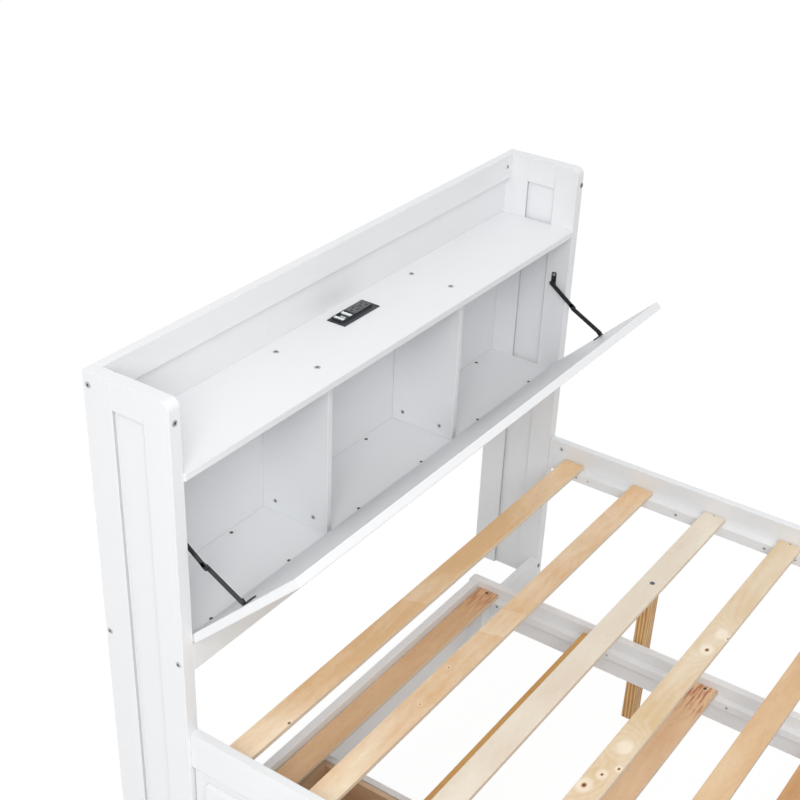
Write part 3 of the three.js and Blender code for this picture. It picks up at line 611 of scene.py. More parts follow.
# Folding stays, one at each end of the door: black lacquered flat bars. The upper arm turns on
# a plate screwed to the side frame, the lower arm on a bracket screwed to the door's inner face.
lacquered = plated("black_lacquer", (0.028, 0.03, 0.033, 1), 0.4)
STAY_HALF_WIDTH = 0.0055
STAY_EASE = 0.0006
KNUCKLE_HALF_WIDTH = 0.0065
KNUCKLE_REACH = 0.007
RIVET_RADIUS = 0.0036
RIVET_DOME = 0.0013
SHANK_RADIUS = 0.003
# The pivot rivet's head, as radii and heights over the arm.
RIVET_HEAD = [(0.0045, 0), (0.004, 0.001), (0.002, RIVET_DOME), (0, RIVET_DOME)]
ARM_STANDOFF = 0.009
ARM_THICKNESS = 0.003
ARM_GAP = 0.0005
SEAT_GAP = 0.0003
PLATE_THICKNESS = 0.0025
PLATE_CORNER = 0.004
FOOT_LENGTH = 0.024
FOOT_HALF_HEIGHT = 0.008
PIVOT_STANDOFF = 0.007
PIVOT_SHARE = 0.5014
EAR_REACH = 0.005
PIN_BACK = 0.001
PIN_LENGTH = 0.003

wall_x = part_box("right_front_stile")[0].x
plate_x = wall_x - PLATE_THICKNESS
upper_arm = (wall_x - ARM_STANDOFF - ARM_THICKNESS, wall_x - ARM_STANDOFF)
lower_arm = (upper_arm[0] - ARM_GAP - ARM_THICKNESS, upper_arm[0] - ARM_GAP)
boss = plate_x - upper_arm[1] - SEAT_GAP
shank = plate_x - upper_arm[0] + SEAT_GAP
ear_outer = lower_arm[0] - SEAT_GAP
ear_inner = ear_outer - PLATE_THICKNESS
foot_y = DOOR_THICKNESS + SEAT_GAP
pivot_y = DOOR_THICKNESS + PIVOT_STANDOFF
pivot_z = DOOR_FOOT + PIVOT_SHARE * (door_top - DOOR_FOOT)
joint_places = {joint["name"]: np.array(joint.get("pos_m", (0, 0, 0))) for joint in frame["joints"]}


def circle_about(direction, sides):
    """Angles round a line, and the unit vectors across it that they stand for."""
    along = np.asarray(direction, float)
    aside = along[[1, 2, 0]]
    angle = np.linspace(0, 2 * math.pi, sides, endpoint=False)
    return angle, np.cos(angle)[:, None] * aside + np.sin(angle)[:, None] * np.cross(along, aside)


def lathe(profile, at, direction, sides=24):
    """A round piece: each profile point, a radius and a height, is a ring about the line that
    starts at a place and runs in a direction. The first and the last ring close to a point."""
    radius, height = np.array(profile, float).T
    circle = circle_about(direction, sides)[1]
    points = np.asarray(at) + height[:, None, None] * np.asarray(direction) + radius[:, None, None] * circle
    return points.reshape(-1, 3), ring_faces(len(profile), sides)


def dome(radius, height, steps=4):
    """A shallow dome's profile: a quarter turn, with the cosine for the radius and the sine for
    the height, closed underneath."""
    angle = np.linspace(0, math.pi / 2, steps + 1)
    return [(0, 0), *zip(radius * np.cos(angle), height * np.sin(angle))]


def stay_bar(start, end, half_width, levels, steps=8):
    """A flat bar with round ends between two points: half a circle of normals round each end."""
    across = np.subtract(end, start)
    heading = math.atan2(across[1], across[0])
    half = np.linspace(-math.pi / 2, math.pi / 2, steps + 1)
    angle = np.concatenate([heading + half, heading + math.pi + half])
    normals = np.stack([np.cos(angle), np.sin(angle)], axis=1)
    ends = np.repeat(np.array([end, start], float), steps + 1, axis=0)
    return stand(slab((ends + half_width * normals, normals), *levels, STAY_EASE), "x")


for side, sign in (("left", -1), ("right", 1)):
    outward = np.array([sign, 0.0, 0.0])
    top_pivot = joint_places[f"{side}_upper_arm_turn"][1:]
    door_pivot = joint_places[f"{side}_lower_arm_turn"][1:]
    knuckle = np.array(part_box(f"{side}_upper_stay_arm")[0].yz) + STAY_HALF_WIDTH

    levels = sorted(sign * x for x in upper_arm)
    along = (knuckle - top_pivot) / np.linalg.norm(knuckle - top_pivot) * KNUCKLE_REACH
    rivet = lathe(dome(RIVET_RADIUS, RIVET_DOME), (sign * upper_arm[1], *knuckle), outward)
    shapes = [stay_bar(top_pivot, knuckle, STAY_HALF_WIDTH, levels), rivet,
              stay_bar(knuckle - along, knuckle, KNUCKLE_HALF_WIDTH, levels)]
    piece(f"{side}_upper_stay_bar", together(shapes), lacquered, f"{side}_upper_arm",
          [f"{side}_upper_stay_arm"])

    levels = sorted(sign * x for x in lower_arm)
    rivet = lathe(dome(RIVET_RADIUS, RIVET_DOME), (sign * lower_arm[0], *knuckle), -outward)
    shapes = [stay_bar(door_pivot, knuckle, STAY_HALF_WIDTH, levels), rivet]
    piece(f"{side}_lower_stay_bar", together(shapes), lacquered, f"{side}_lower_arm",
          [f"{side}_lower_stay_arm"])

    low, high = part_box(f"{side}_stay_side_plate")
    levels = sorted((sign * wall_x, sign * plate_x))
    plate = stand(slab(rounded(rectangle(low.yz, high.yz), PLATE_CORNER, 5), *levels, STAY_EASE), "x")
    profile = [(0, 0), (STAY_HALF_WIDTH, 0), (STAY_HALF_WIDTH, boss), (SHANK_RADIUS, boss),
               (SHANK_RADIUS, shank)]
    profile += [(radius, shank + height) for radius, height in RIVET_HEAD]
    rivet = lathe(profile, (sign * plate_x, *top_pivot), -outward)
    piece(f"{side}_stay_wall_plate", together([plate, rivet]), lacquered, "frame",
          [f"{side}_stay_side_plate"])

    start, end = sorted((sign * (ear_inner - FOOT_LENGTH), sign * ear_outer))
    foot = block((start, foot_y, pivot_z - FOOT_HALF_HEIGHT),
                 (end, foot_y + PLATE_THICKNESS, pivot_z + FOOT_HALF_HEIGHT), STAY_EASE)
    start, end = sorted((sign * ear_inner, sign * ear_outer))
    ear = block((start, foot_y, pivot_z - STAY_HALF_WIDTH),
                (end, pivot_y + EAR_REACH, pivot_z + STAY_HALF_WIDTH), STAY_EASE)
    profile = [(0, -PIN_BACK), (SHANK_RADIUS, -PIN_BACK), (SHANK_RADIUS, PIN_LENGTH), (0, PIN_LENGTH)]
    pin = lathe(profile, (sign * ear_outer, pivot_y, pivot_z), outward)
    piece(f"{side}_stay_door_foot", on_door(together([foot, ear, pin])), lacquered, "door",
          [f"{side}_stay_door_bracket"])


# Bed frame: two side rails with a ledger along each inner face, and a foot end of two posts and
# a rail. Painted pine boards, bolted to the headboard's front stiles and to the posts.
for side in ("left", "right"):
    for part in ("side_rail", "slat_ledger"):
        board(f"{side}_{part}", RAIL_EASE, painted_along)

POST_WIDTH = 0.060
FOOT_RAIL_THICKNESS = 0.020
low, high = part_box("foot_board")
for side, start in (("left", low.x), ("right", high.x - POST_WIDTH)):
    post = block((start, low.y, low.z), (start + POST_WIDTH, high.y, high.z), FRAME_EASE)
    piece(f"{side}_foot_post", post, painted_upright, "frame", ["foot_board"])
foot_rail = block((low.x + POST_WIDTH, high.y - FOOT_RAIL_THICKNESS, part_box("left_side_rail")[0].z),
                  (high.x - POST_WIDTH, high.y, high.z), RAIL_EASE)
piece("foot_rail", foot_rail, painted_across, "frame", ["foot_board"])


# Slats: ten laminated birch boards, each of another tone, with a fine fibre, soft figure, and
# pale plies in the long edges. They lie on the ledgers and are screwed down at both ends. Each
# pattern is given by its features to the metre along the grain and across it, and its detail.
TIMBER_PATTERNS = {
    "patch": (5, 14, 3),
    "warp": (1.6, 7, 2),
    "mottle": (45, 130, 2),
    "fibre": (14, 620, 3),
    "speck": (60, 420, 1),
    "tongue": (22, 150, 3),
}
RING_TILT = 0.6
RING_WARP = 20.0
RING_SHARPNESS = 1.6
TONE_MIDDLE = 0.45
PORE_RANGE = (0.66, 0.74)
PORE_TINT = (0.62, 0.42, 0.28, 1)
FLAME_RANGE = (0.44, 0.62)
FLAME_TINT = (0.43, 0.14, 0.06, 1)
TIMBER_ROUGHNESS = (0.44, 0.64)
TIMBER_BUMP = 0.2
TIMBER_DEPTH = 0.0003

timber_figure, given = new_group(
    "timber_figure", Place="Vector", Pale="Color", Deep="Color", Figure="Float", Fleck="Float",
    Pitch="Float", Swirl="Float", Shift="Float", Flame="Float",
)
pattern = {name: grain(timber_figure, given["Place"], *sizes) for name, sizes in TIMBER_PATTERNS.items()}
split = put(timber_figure, "SeparateXYZ", {0: given["Place"]}).outputs
across = calc(timber_figure, "MULTIPLY_ADD", split[2], RING_TILT, split[1])
phase = calc(timber_figure, "MULTIPLY_ADD", across, given["Pitch"], given["Swirl"])
phase = calc(timber_figure, "MULTIPLY_ADD", pattern["warp"], RING_WARP, phase)
wave = calc(timber_figure, "ABSOLUTE", calc(timber_figure, "SINE", phase))
ring = calc(timber_figure, "POWER", wave, RING_SHARPNESS)
share = calc(timber_figure, "ADD", given["Shift"], TONE_MIDDLE)
for part, middle, weight in ((pattern["patch"], 0.5, 1.7), (ring, 0.45, given["Figure"]),
                             (pattern["mottle"], 0.5, 0.45), (pattern["fibre"], 0.5, 0.3)):
    share = sway(timber_figure, part, middle, weight, share)
share = put(timber_figure, "Clamp", {0: share}).outputs[0]
colour = mix_colour(timber_figure, share, given["Pale"], given["Deep"])
start, end = PORE_RANGE
pores = put(timber_figure, "MapRange", {0: pattern["speck"], 1: start, 2: end}).outputs[0]
pores = calc(timber_figure, "MULTIPLY", pores, given["Fleck"])
colour = mix_colour(timber_figure, pores, colour, PORE_TINT, "MULTIPLY")
start, end = FLAME_RANGE
flame = put(timber_figure, "MapRange", {0: pattern["tongue"], 1: start, 2: end}).outputs[0]
flame = calc(timber_figure, "MULTIPLY", flame, given["Flame"])
end_group(timber_figure, mix_colour(timber_figure, flame, colour, FLAME_TINT),
          between(timber_figure, pattern["fibre"], *TIMBER_ROUGHNESS),
          calc(timber_figure, "ADD", pattern["fibre"], pattern["mottle"]))


def screen(red, green, blue):
    """A colour as written for a screen, 0 to 255, as linear light."""
    value = np.array([red, green, blue]) / 255
    linear = np.where(value <= 0.04045, value / 12.92, ((value + 0.055) / 1.055) ** 2.4)
    return (*linear.tolist(), 1)


RING_PITCH = 95.0
KNOT_HALO = screen(250, 241, 226)
KNOT_RIM = (0.52, 0.30, 0.15, 1)
KNOT_CORE = (0.10, 0.04, 0.018, 1)
KNOT_OVAL = (0.72, 1, 1)
# Where each ring of a knot begins and is full, as shares of the halo's or the core's size.
HALO_SHARES = (2.2, 0.9)
RIM_SHARES = (1.9, 1.2)
CORE_SHARES = (1.1, 0.7)
HALO_STRENGTH = 0.5
SWIRL_SHARE = 7
PLY_PITCH = 2 * math.pi / 0.0040
PLY_PALE = screen(238, 225, 205)
PLY_DEEP = screen(210, 186, 156)
PLY_GLUE = screen(176, 158, 138)
GLUE_LINE = (0.0030, 0.0012)
SIDEWAYS = (0.6, 0.3)
EDGE_STRENGTH = 0.8


def ramp(tree, value, start, end, low=0.0, high=1.0):
    """A value eased from one level to another between two bounds."""
    bounds = {0: value, 1: start, 2: end, 3: low, 4: high}
    return put(tree, "MapRange", bounds, interpolation_type="SMOOTHSTEP").outputs[0]


def timber(name, pale, deep, figure=0.3, fleck=0.4, shift=0.0, turn="x", knots=(), seams=(), flames=(),
           edge=None, pitch=RING_PITCH):
    """Bare timber: its figure runs along one axis. A knot is a dark core, of a share of its size,
    in a bright halo that turns the figure round it. A seam is where the tone shifts across the
    board: sharply, or fading over a length. Flames are red-brown streaks between two places.
    On faces that look sideways the plies show as fine lines, over a dark one at the edge's foot."""
    made, tree, shader, here = new_material(name)
    turned = put(tree, "Mapping", {"Vector": here, "Rotation": GRAIN_TURN[turn]}).outputs[0]
    moved = put(tree, "VectorMath", {0: turned, 1: (shift, 0, 0)}, operation="ADD").outputs[0]
    split = put(tree, "SeparateXYZ", {0: here}).outputs
    tone, burn, swirl, halos, rims, cores = [0.0] * 6
    for x, y, lean, change, fade in seams:
        along = calc(tree, "MULTIPLY_ADD", calc(tree, "SUBTRACT", split[1], y), lean, split[0])
        tone = calc(tree, "ADD", tone, ramp(tree, along, x, x + fade, 0.0, change))
    for start, end, strength in flames:
        burn = calc(tree, "ADD", burn, ramp(tree, split[0], start, end, 0.0, strength))
    for x, y, z, size, core, turning in knots:
        away = put(tree, "VectorMath", {0: here, 1: (x, y, z)}, operation="SUBTRACT").outputs[0]
        oval = stretch(tree, away, KNOT_OVAL)
        distance = put(tree, "VectorMath", {0: oval}, operation="LENGTH").outputs["Value"]
        swirl = calc(tree, "ADD", swirl, ramp(tree, distance, 0.0, size * SWIRL_SHARE, turning, 0.0))
        halo = ramp(tree, distance, *np.multiply(size, HALO_SHARES), 0.0, HALO_STRENGTH)
        halos = calc(tree, "MAXIMUM", halos, halo)
        if core:
            rims = calc(tree, "MAXIMUM", rims, ramp(tree, distance, *np.multiply(size * core, RIM_SHARES)))
            cores = calc(tree, "MAXIMUM", cores, ramp(tree, distance, *np.multiply(size * core, CORE_SHARES)))

    def over(colour):
        """The knots over the wood's own colour, and over both the plies in the edges."""
        if knots:
            colour = mix_colour(tree, halos, colour, KNOT_HALO)
            colour = mix_colour(tree, rims, colour, KNOT_RIM)
            colour = mix_colour(tree, cores, colour, KNOT_CORE)
        if edge is None:
            return colour
        stripe = calc(tree, "SINE", calc(tree, "MULTIPLY", split[2], PLY_PITCH))
        layered = mix_colour(tree, between(tree, stripe, 0.5, 1.0), PLY_PALE, PLY_DEEP)
        line = ramp(tree, split[2], edge + GLUE_LINE[0], edge + GLUE_LINE[1])
        layered = mix_colour(tree, line, layered, PLY_GLUE)
        up = put(tree, "SeparateXYZ", {0: put(tree, "TexCoord").outputs["Normal"]}).outputs[2]
        sideways = ramp(tree, calc(tree, "ABSOLUTE", up), *SIDEWAYS, 0.0, EDGE_STRENGTH)
        return mix_colour(tree, sideways, colour, layered)

    inputs = {"Place": moved, "Pale": pale, "Deep": deep, "Figure": figure, "Fleck": fleck, "Pitch": pitch,
              "Swirl": swirl, "Shift": tone, "Flame": burn}
    dress(tree, shader, timber_figure, inputs, TIMBER_BUMP, TIMBER_DEPTH, over)
    return made


SLAT_EASE = 0.0010
SLAT_SHIFT = 1.7
# Each slat's palest and deepest tone, and how strongly its figure and its flecks show.
SLAT_TONES = [
    (screen(255, 236, 208), screen(230, 189, 141), 0.12, 0.15),
    (screen(244, 229, 204), screen(223, 183, 138), 0.12, 0.15),
    (screen(232, 223, 207), screen(218, 200, 179), 0.06, 0.08),
    (screen(228, 212, 188), screen(211, 182, 139), 0.20, 0.10),
    (screen(220, 193, 157), screen(204, 159, 113), 0.14, 0.20),
    (screen(235, 218, 194), screen(216, 183, 143), 0.12, 0.15),
    (screen(231, 206, 174), screen(208, 168, 126), 0.14, 0.20),
    (screen(236, 226, 209), screen(220, 198, 172), 0.08, 0.10),
    (screen(231, 210, 182), screen(212, 177, 137), 0.16, 0.15),
    (screen(234, 216, 190), screen(214, 181, 141), 0.12, 0.20),
]
# A knot: how far along the slat, its depth, its halo's size, the core's share of that, and how
# far it turns the figure. A seam: how far along, its lean, the tone's change and the fade's length.
SLAT_KNOTS = {
    1: [(-0.537, 0.304, 0.0040, 0.5, 3)],
    2: [(-0.199, 0.466, 0.0028, 0.5, 1), (-0.331, 0.482, 0.0024, 0.5, 1), (0.209, 0.498, 0.0022, 0.5, 1)],
    4: [(0.1915, 0.8817, 0.0090, 0.34, 9), (-0.3301, 0.8624, 0.0100, 0.36, 9),
        (-0.2840, 0.8769, 0.0070, 0.30, 5), (-0.2505, 0.8965, 0.0046, 0.45, 3),
        (0.2549, 0.9029, 0.0050, 0.32, 3), (0.2630, 0.8851, 0.0085, 0, 9), (-0.1882, 0.8776, 0.0100, 0, 16)],
    7: [(0.120, 1.470, 0.008, 0.35, 8)],
    9: [(-0.310, 1.868, 0.007, 0.35, 7)],
}
SHARP = 0.002
SLAT_SEAMS = {
    1: [(-0.68, 0.0, 0.45, 0.40), (-0.056, 0.35, -0.2, SHARP), (-0.054, 0.35, 0.35, 0.17),
        (0.33, 0.3, -0.25, 0.1)],
    2: [(-0.66, 0.0, 0.45, 0.62), (-0.050, 0.3, -0.3, SHARP), (0.0495, 0.3, 0.25, SHARP),
        (0.515, -0.5, -0.15, SHARP)],
    3: [(-0.45, 0.0, -0.15, 0.30)],
    4: [(-0.22, 0.0, 0.3, 0.14), (-0.05, 0.0, -0.35, 0.2)],
    5: [(0.05, 0.0, 0.35, 0.50)],
    6: [(0.12, 0.3, 0.3, SHARP)],
    8: [(-0.2, -0.4, -0.25, SHARP), (-0.198, -0.4, 0.25, 0.20)],
    10: [(0.3, 0.4, 0.3, SHARP)],
}
for number, (pale, deep, figure, fleck) in enumerate(SLAT_TONES, 1):
    node = f"slat_{number}"
    low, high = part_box(node)
    knots = [(x, back_y - depth, high.z, *rest) for x, depth, *rest in SLAT_KNOTS.get(number, [])]
    seams = [(x, (low.y + high.y) / 2, *rest) for x, *rest in SLAT_SEAMS.get(number, [])]
    look = timber(f"slat_{number}_birch", pale, deep, figure, fleck, SLAT_SHIFT * number, knots=knots,
                  seams=seams, edge=low.z)
    piece(node + "_board", block(low, high, SLAT_EASE), look, "frame", [node])


# Support legs: planed pine posts under the third, sixth and ninth slats, each held by a bolt
# down through its slat. The grain runs upright in strong brown and golden lines.
pine_post = timber("pine_post", screen(232, 196, 138), screen(176, 122, 66), 0.9, 0.2, 0.4, "z", pitch=420.0)
LEGGED_SLATS = (3, 6, 9)
leg_low, leg_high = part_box("support_leg")
for number in LEGGED_SLATS:
    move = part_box(f"slat_{number}")[0].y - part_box(f"slat_{LEGGED_SLATS[0]}")[0].y
    leg = block((leg_low.x, leg_low.y + move, leg_low.z), (leg_high.x, leg_high.y + move, leg_high.z),
                FRAME_EASE)
    nodes = ["support_leg"] if number == LEGGED_SLATS[0] else []
    piece(f"support_leg_{number}", leg, pine_post, "frame", nodes)


# Trundle frame: a far rail with rounded top ends, two end boards that come forward between the
# near boards, a post in each far corner, and a ledger along each long side. Painted pine.
CORNER_RADIUS = 0.012
POST_SIZE = 0.040
LEDGER_SIZE = 0.020
LEDGER_TOP = 0.221
SILL_TOP = 0.042
LAP_TOP = 0.150
WHEEL_ROOM = 0.003
WHEEL_RADIUS = 0.0175
END_BOARD = 0.020
FACE_THICKNESS = 0.015
bay_low, bay_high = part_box("drawer_bay")
deck_low, deck_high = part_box("trundle_slat_deck")
face_back = bay_low.x + FACE_THICKNESS
far_low, far_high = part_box("trundle_far_rail")
far_inner = far_low.x

radii = [RAIL_EASE, RAIL_EASE, CORNER_RADIUS, CORNER_RADIUS]
outline = rounded(rectangle(far_low.yz, far_high.yz), radii, 6)
piece("trundle_far_rail_board", stand(slab(outline, far_low.x, far_high.x, RAIL_EASE), "x"), painted_along,
      "trundle", ["trundle_far_rail"])
for end in ("head", "foot"):
    node = f"trundle_{end}_board"
    low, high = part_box(node)
    y0, y1 = (high.y - END_BOARD, high.y) if end == "head" else (low.y, low.y + END_BOARD)
    corners = [(face_back, LAP_TOP), (low.x, LAP_TOP), (low.x, SILL_TOP), (face_back, SILL_TOP),
               (face_back, low.z), (high.x, low.z), (high.x, high.z), (face_back, high.z)]
    shape = stand(slab(rounded(corners, BOARD_EASE), y0, y1, BOARD_EASE), "y")
    piece(f"trundle_{end}_end_board", shape, painted_across, "trundle", [node])
    p0, p1 = (low.y, y0) if end == "head" else (y1, high.y)
    post = block((far_inner - POST_SIZE, p0, 2 * WHEEL_RADIUS + WHEEL_ROOM),
                 (far_inner, p1, LEDGER_TOP - LEDGER_SIZE), RAIL_EASE)
    piece(f"trundle_{end}_corner_post", post, painted_upright, "trundle", [node])

for side, start in (("near", face_back), ("far", far_inner - LEDGER_SIZE)):
    ledger = block((start, deck_low.y, LEDGER_TOP - LEDGER_SIZE),
                   (start + LEDGER_SIZE, deck_high.y, LEDGER_TOP), BOARD_EASE)
    piece(f"trundle_{side}_ledger", ledger, painted_along, "trundle", ["trundle_slat_deck"])


# Trundle slats: seven boards of darker and more mixed timber than the bed's own, some with red
# and brown streaks toward their ends.
TRUNDLE_SLAT_WIDTH = 0.055
TRUNDLE_SLAT_MARGIN = 0.003
TRUNDLE_SLAT_END_GAP = 0.001
TRUNDLE_SHIFT = (23.0, 1.3)
TRUNDLE_TONES = [
    (screen(226, 190, 150), screen(206, 163, 122), 0.14, 0.30),
    (screen(218, 172, 106), screen(204, 152, 86), 0.14, 0.15),
    (screen(230, 198, 162), screen(214, 172, 132), 0.14, 0.20),
    (screen(226, 184, 136), screen(206, 156, 106), 0.16, 0.30),
    (screen(226, 188, 144), screen(204, 160, 114), 0.16, 0.30),
    (screen(238, 218, 190), screen(222, 188, 148), 0.12, 0.20),
    (screen(220, 182, 136), screen(196, 150, 106), 0.16, 0.30),
]
# Red-brown flames: where they begin and are full, measured from the far end, and their strength.
TRUNDLE_FLAMES = {0: (-0.15, -0.04, 0.6), 2: (-0.16, -0.05, 0.95), 5: (-0.9, -0.7, 0.4)}
first_top = deck_high.y - TRUNDLE_SLAT_MARGIN
last_top = deck_low.y + TRUNDLE_SLAT_MARGIN + TRUNDLE_SLAT_WIDTH
trundle_tops = np.linspace(first_top, last_top, len(TRUNDLE_TONES)).tolist()
for index, (pale, deep, figure, fleck) in enumerate(TRUNDLE_TONES):
    top = trundle_tops[index]
    slat = block((deck_low.x + TRUNDLE_SLAT_END_GAP, top - TRUNDLE_SLAT_WIDTH, LEDGER_TOP),
                 (deck_high.x - TRUNDLE_SLAT_END_GAP, top, deck_high.z), SLAT_EASE)
    flames = []
    if index in TRUNDLE_FLAMES:
        start, full, strength = TRUNDLE_FLAMES[index]
        flames.append((deck_high.x + start, deck_high.x + full, strength))
    look = timber(f"trundle_slat_{index + 1}_timber", pale, deep, figure, fleck,
                  TRUNDLE_SHIFT[0] + TRUNDLE_SHIFT[1] * index, flames=flames, edge=LEDGER_TOP)
    piece(f"trundle_slat_{index + 1}", slat, look, "trundle", ["trundle_slat_deck"])


# Wheels: grey nylon rollers with a dished side and a rounded rim, each turned in one piece with
# the axle that runs in the trundle's end board.
nylon = moulded("grey_nylon", (0.055, 0.058, 0.063, 1), pebbles=500, depth=0.0003)
WHEEL_WIDTH = 0.014
RIM_RADIUS = 0.002
HUB_RADIUS = 0.006
DISH_DEPTH = 0.002
DISH_SLOPE = 0.002
AXLE_RADIUS = 0.004
WHEEL_SIDES = 48
for end, step in (("head", -1), ("foot", 1)):
    for where in ("near", "far"):
        node = f"{end}_{where}_wheel"
        low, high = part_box(node)
        start = high.y if end == "head" else low.y
        near = (high.y - low.y) - WHEEL_WIDTH
        far = near + WHEEL_WIDTH
        angle = np.linspace(0, math.pi / 2, 4)
        outer = WHEEL_RADIUS - RIM_RADIUS
        rise = list(zip(outer + RIM_RADIUS * np.sin(angle), near + RIM_RADIUS * (1 - np.cos(angle))))
        fall = [(radius, near + far - height) for radius, height in rise[::-1]]
        profile = [(0, 0), (AXLE_RADIUS, 0), (AXLE_RADIUS, near), *rise, *fall,
                   (outer - DISH_SLOPE, far - DISH_DEPTH), (HUB_RADIUS + DISH_SLOPE, far - DISH_DEPTH),
                   (HUB_RADIUS, far), (0, far)]
        at = ((low.x + high.x) / 2, start, (low.z + high.z) / 2)
        roller = lathe(profile, at, (0.0, step, 0.0), WHEEL_SIDES)
        piece(node + "_roller", roller, nylon, node, [node])


# Drawer bay along the trundle's near side: a tall face board above, a sill below, a long board
# behind the drawers, partitions, and L-shaped runners under each drawer's sides. Painted.
DRAWERS = 3
BAY_BACK_THICKNESS = 0.015
PARTITION = 0.015
BAY_TOP = 0.152
RUNNER_LOW = 0.0372
RUNNER_FOOT = 0.0075
RUNNER_TOP = 0.070
DRAWER_SIDE_GAP = 0.012
RUNNER_PLAY = 0.0005
RUNNER_FOOT_WIDTH = 0.012
back_x = bay_high.x - BAY_BACK_THICKNESS
bay_length = (deck_high.y - deck_low.y - (DRAWERS - 1) * PARTITION) / DRAWERS
bay_starts = [deck_high.y - index * (bay_length + PARTITION) for index in range(DRAWERS)]


def bay_board(name, low, high, material):
    piece(name, block(low, high, BOARD_EASE), material, "trundle", ["drawer_bay"])


bay_board("drawer_bay_face_board", (bay_low.x, bay_low.y, LAP_TOP), (face_back, bay_high.y, bay_high.z),
          painted_along)
bay_board("drawer_bay_sill", bay_low, (face_back, bay_high.y, SILL_TOP), painted_along)
bay_board("drawer_bay_back_board", (back_x, deck_low.y, bay_low.z), (bay_high.x, deck_high.y, BAY_TOP),
          painted_along)
for index, start in enumerate(bay_starts[1:], 1):
    bay_board(f"drawer_bay_partition_{index}", (face_back, start, bay_low.z),
              (back_x, start + PARTITION, BAY_TOP), painted_across)


def runner(wall, step):
    """An L-shaped section drawn in y and z, carried along x from the face boards to the back."""
    face = wall + step * (DRAWER_SIDE_GAP - RUNNER_PLAY)
    toe = wall + step * (DRAWER_SIDE_GAP + RUNNER_FOOT_WIDTH)
    foot_top = RUNNER_LOW + RUNNER_FOOT
    corners = [(wall, RUNNER_LOW), (toe, RUNNER_LOW), (toe, foot_top), (face, foot_top), (face, RUNNER_TOP),
               (wall, RUNNER_TOP)]
    return stand(slab(rounded(corners, BOARD_EASE), face_back, back_x, BOARD_EASE), "x")


runners = [runner(start, -1) for start in bay_starts]
runners += [runner(start - bay_length, 1) for start in bay_starts]
for index, shape in enumerate(runners, 1):
    piece(f"drawer_runner_{index}", shape, painted_across, "trundle", ["drawer_bay"])


# Drawers: an open box of thin bare plywood, four sides round a bottom let in near their lower
# edges, behind a painted overlay front.
BOX_WALL = 0.012
BOTTOM_THICKNESS = 0.005
BOTTOM_SET_UP = 0.007
long_timber = timber("drawer_plywood", screen(222, 194, 162), screen(196, 158, 120), 0.15, 0.3, 5.0)
cross_timber = timber("drawer_side_plywood", screen(224, 196, 164), screen(198, 160, 122), 0.15, 0.3, 9.0,
                      "y")
for number in range(1, DRAWERS + 1):
    node = f"drawer_box_{number}"
    low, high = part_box(node)
    inner_low = (low.x + BOX_WALL, low.y + BOX_WALL)
    inner_high = (high.x - BOX_WALL, high.y - BOX_WALL)
    bottom = low.z + BOTTOM_SET_UP
    parts = {
        "left_side": ((low.x, inner_high[1], low.z), high, long_timber),
        "right_side": (low, (high.x, inner_low[1], high.z), long_timber),
        "inner_front": ((low.x, inner_low[1], low.z), (inner_low[0], inner_high[1], high.z), cross_timber),
        "back": ((inner_high[0], inner_low[1], low.z), (high.x, inner_high[1], high.z), cross_timber),
        "bottom": ((*inner_low, bottom), (*inner_high, bottom + BOTTOM_THICKNESS), long_timber),
    }
    for part, (part_low, part_high, look) in parts.items():
        piece(f"drawer_{number}_{part}", block(part_low, part_high, BOARD_EASE / 2), look,
              f"drawer_{number}", [node])
    board(f"drawer_front_{number}", FRAME_EASE, painted_along, f"drawer_{number}")


# Fasteners: zinc bolts with a hexagon socket hold the frame together, brown screws hold the
# cabinet floor, and small countersunk screws the slats and ledgers.
HEAD_RADIUS = 0.0062
SMALL_HEAD = 0.0049
HEAD_HEIGHT = 0.0010
SCREW_RADIUS = 0.0042
SMALL_SCREW = 0.0018
SCREW_HEIGHT = 0.0006
HEAD_SIDES = 24
HEXAGON = 6
SQUARE = 4
# Shares of the head's radius and height: its eased rim, and its socket with tapering walls.
RIM_SHARE = 0.86
RIM_HEIGHT_SHARE = 0.6
SOCKET_SHARE = 0.45
SOCKET_TAPER_SHARE = 0.95
SOCKET_FLOOR_SHARE = 0.15
SOCKET_RINGS = 2
brown_screw = plated("brown_screw", (0.17, 0.10, 0.055, 1), 0.6)
dark_zinc = plated("dark_zinc", (0.20, 0.21, 0.22, 1))
# Near-black for the painted shade inside the heads' sockets.
socket_painted_shade = plated("socket_painted_shade", (0.05, 0.052, 0.055, 1), 0.5)


def head(at, direction, radius, height, corners):
    """A flat head with an easing round its rim and a socket whose radius swells toward its
    corners as a polygon's does: the half width over the cosine of the angle to the nearest flat."""
    angle, circle = circle_about(direction, HEAD_SIDES)
    half = math.pi / corners
    socket = radius * SOCKET_SHARE * math.cos(half) / np.cos(angle % (2 * half) - half)
    floor = height * SOCKET_FLOOR_SHARE
    rings = [(0, 0), (radius, 0), (radius, height * RIM_HEIGHT_SHARE), (radius * RIM_SHARE, height),
             (socket, height), (socket * SOCKET_TAPER_SHARE, floor), (0, floor)]
    points = [np.asarray(at) + level * np.asarray(direction) + np.reshape(reach, (-1, 1)) * circle
              for reach, level in rings]
    return np.concatenate(points), ring_faces(len(rings), HEAD_SIDES)


def fasten(name, places, material, body="frame", radius=HEAD_RADIUS, height=HEAD_HEIGHT, corners=HEXAGON):
    """A group of heads as one piece; the faces of each head's socket, its last rings, take a near-black
    material that is painted shade.
    """
    heads = [head(at, way, radius, height, corners) for at, way in places]
    made = piece(name, together(heads), material, body)
    made.data.materials.append(socket_painted_shade)
    rings = len(heads[0][1]) // HEAD_SIDES
    ring = np.arange(len(made.data.polygons)) // HEAD_SIDES % rings
    made.data.polygons.foreach_set("material_index", (ring >= rings - SOCKET_RINGS).astype(int))


def screw_down(name, places, material, body="frame", radius=SCREW_RADIUS):
    fasten(name, places, material, body, radius, SCREW_HEIGHT, SQUARE)


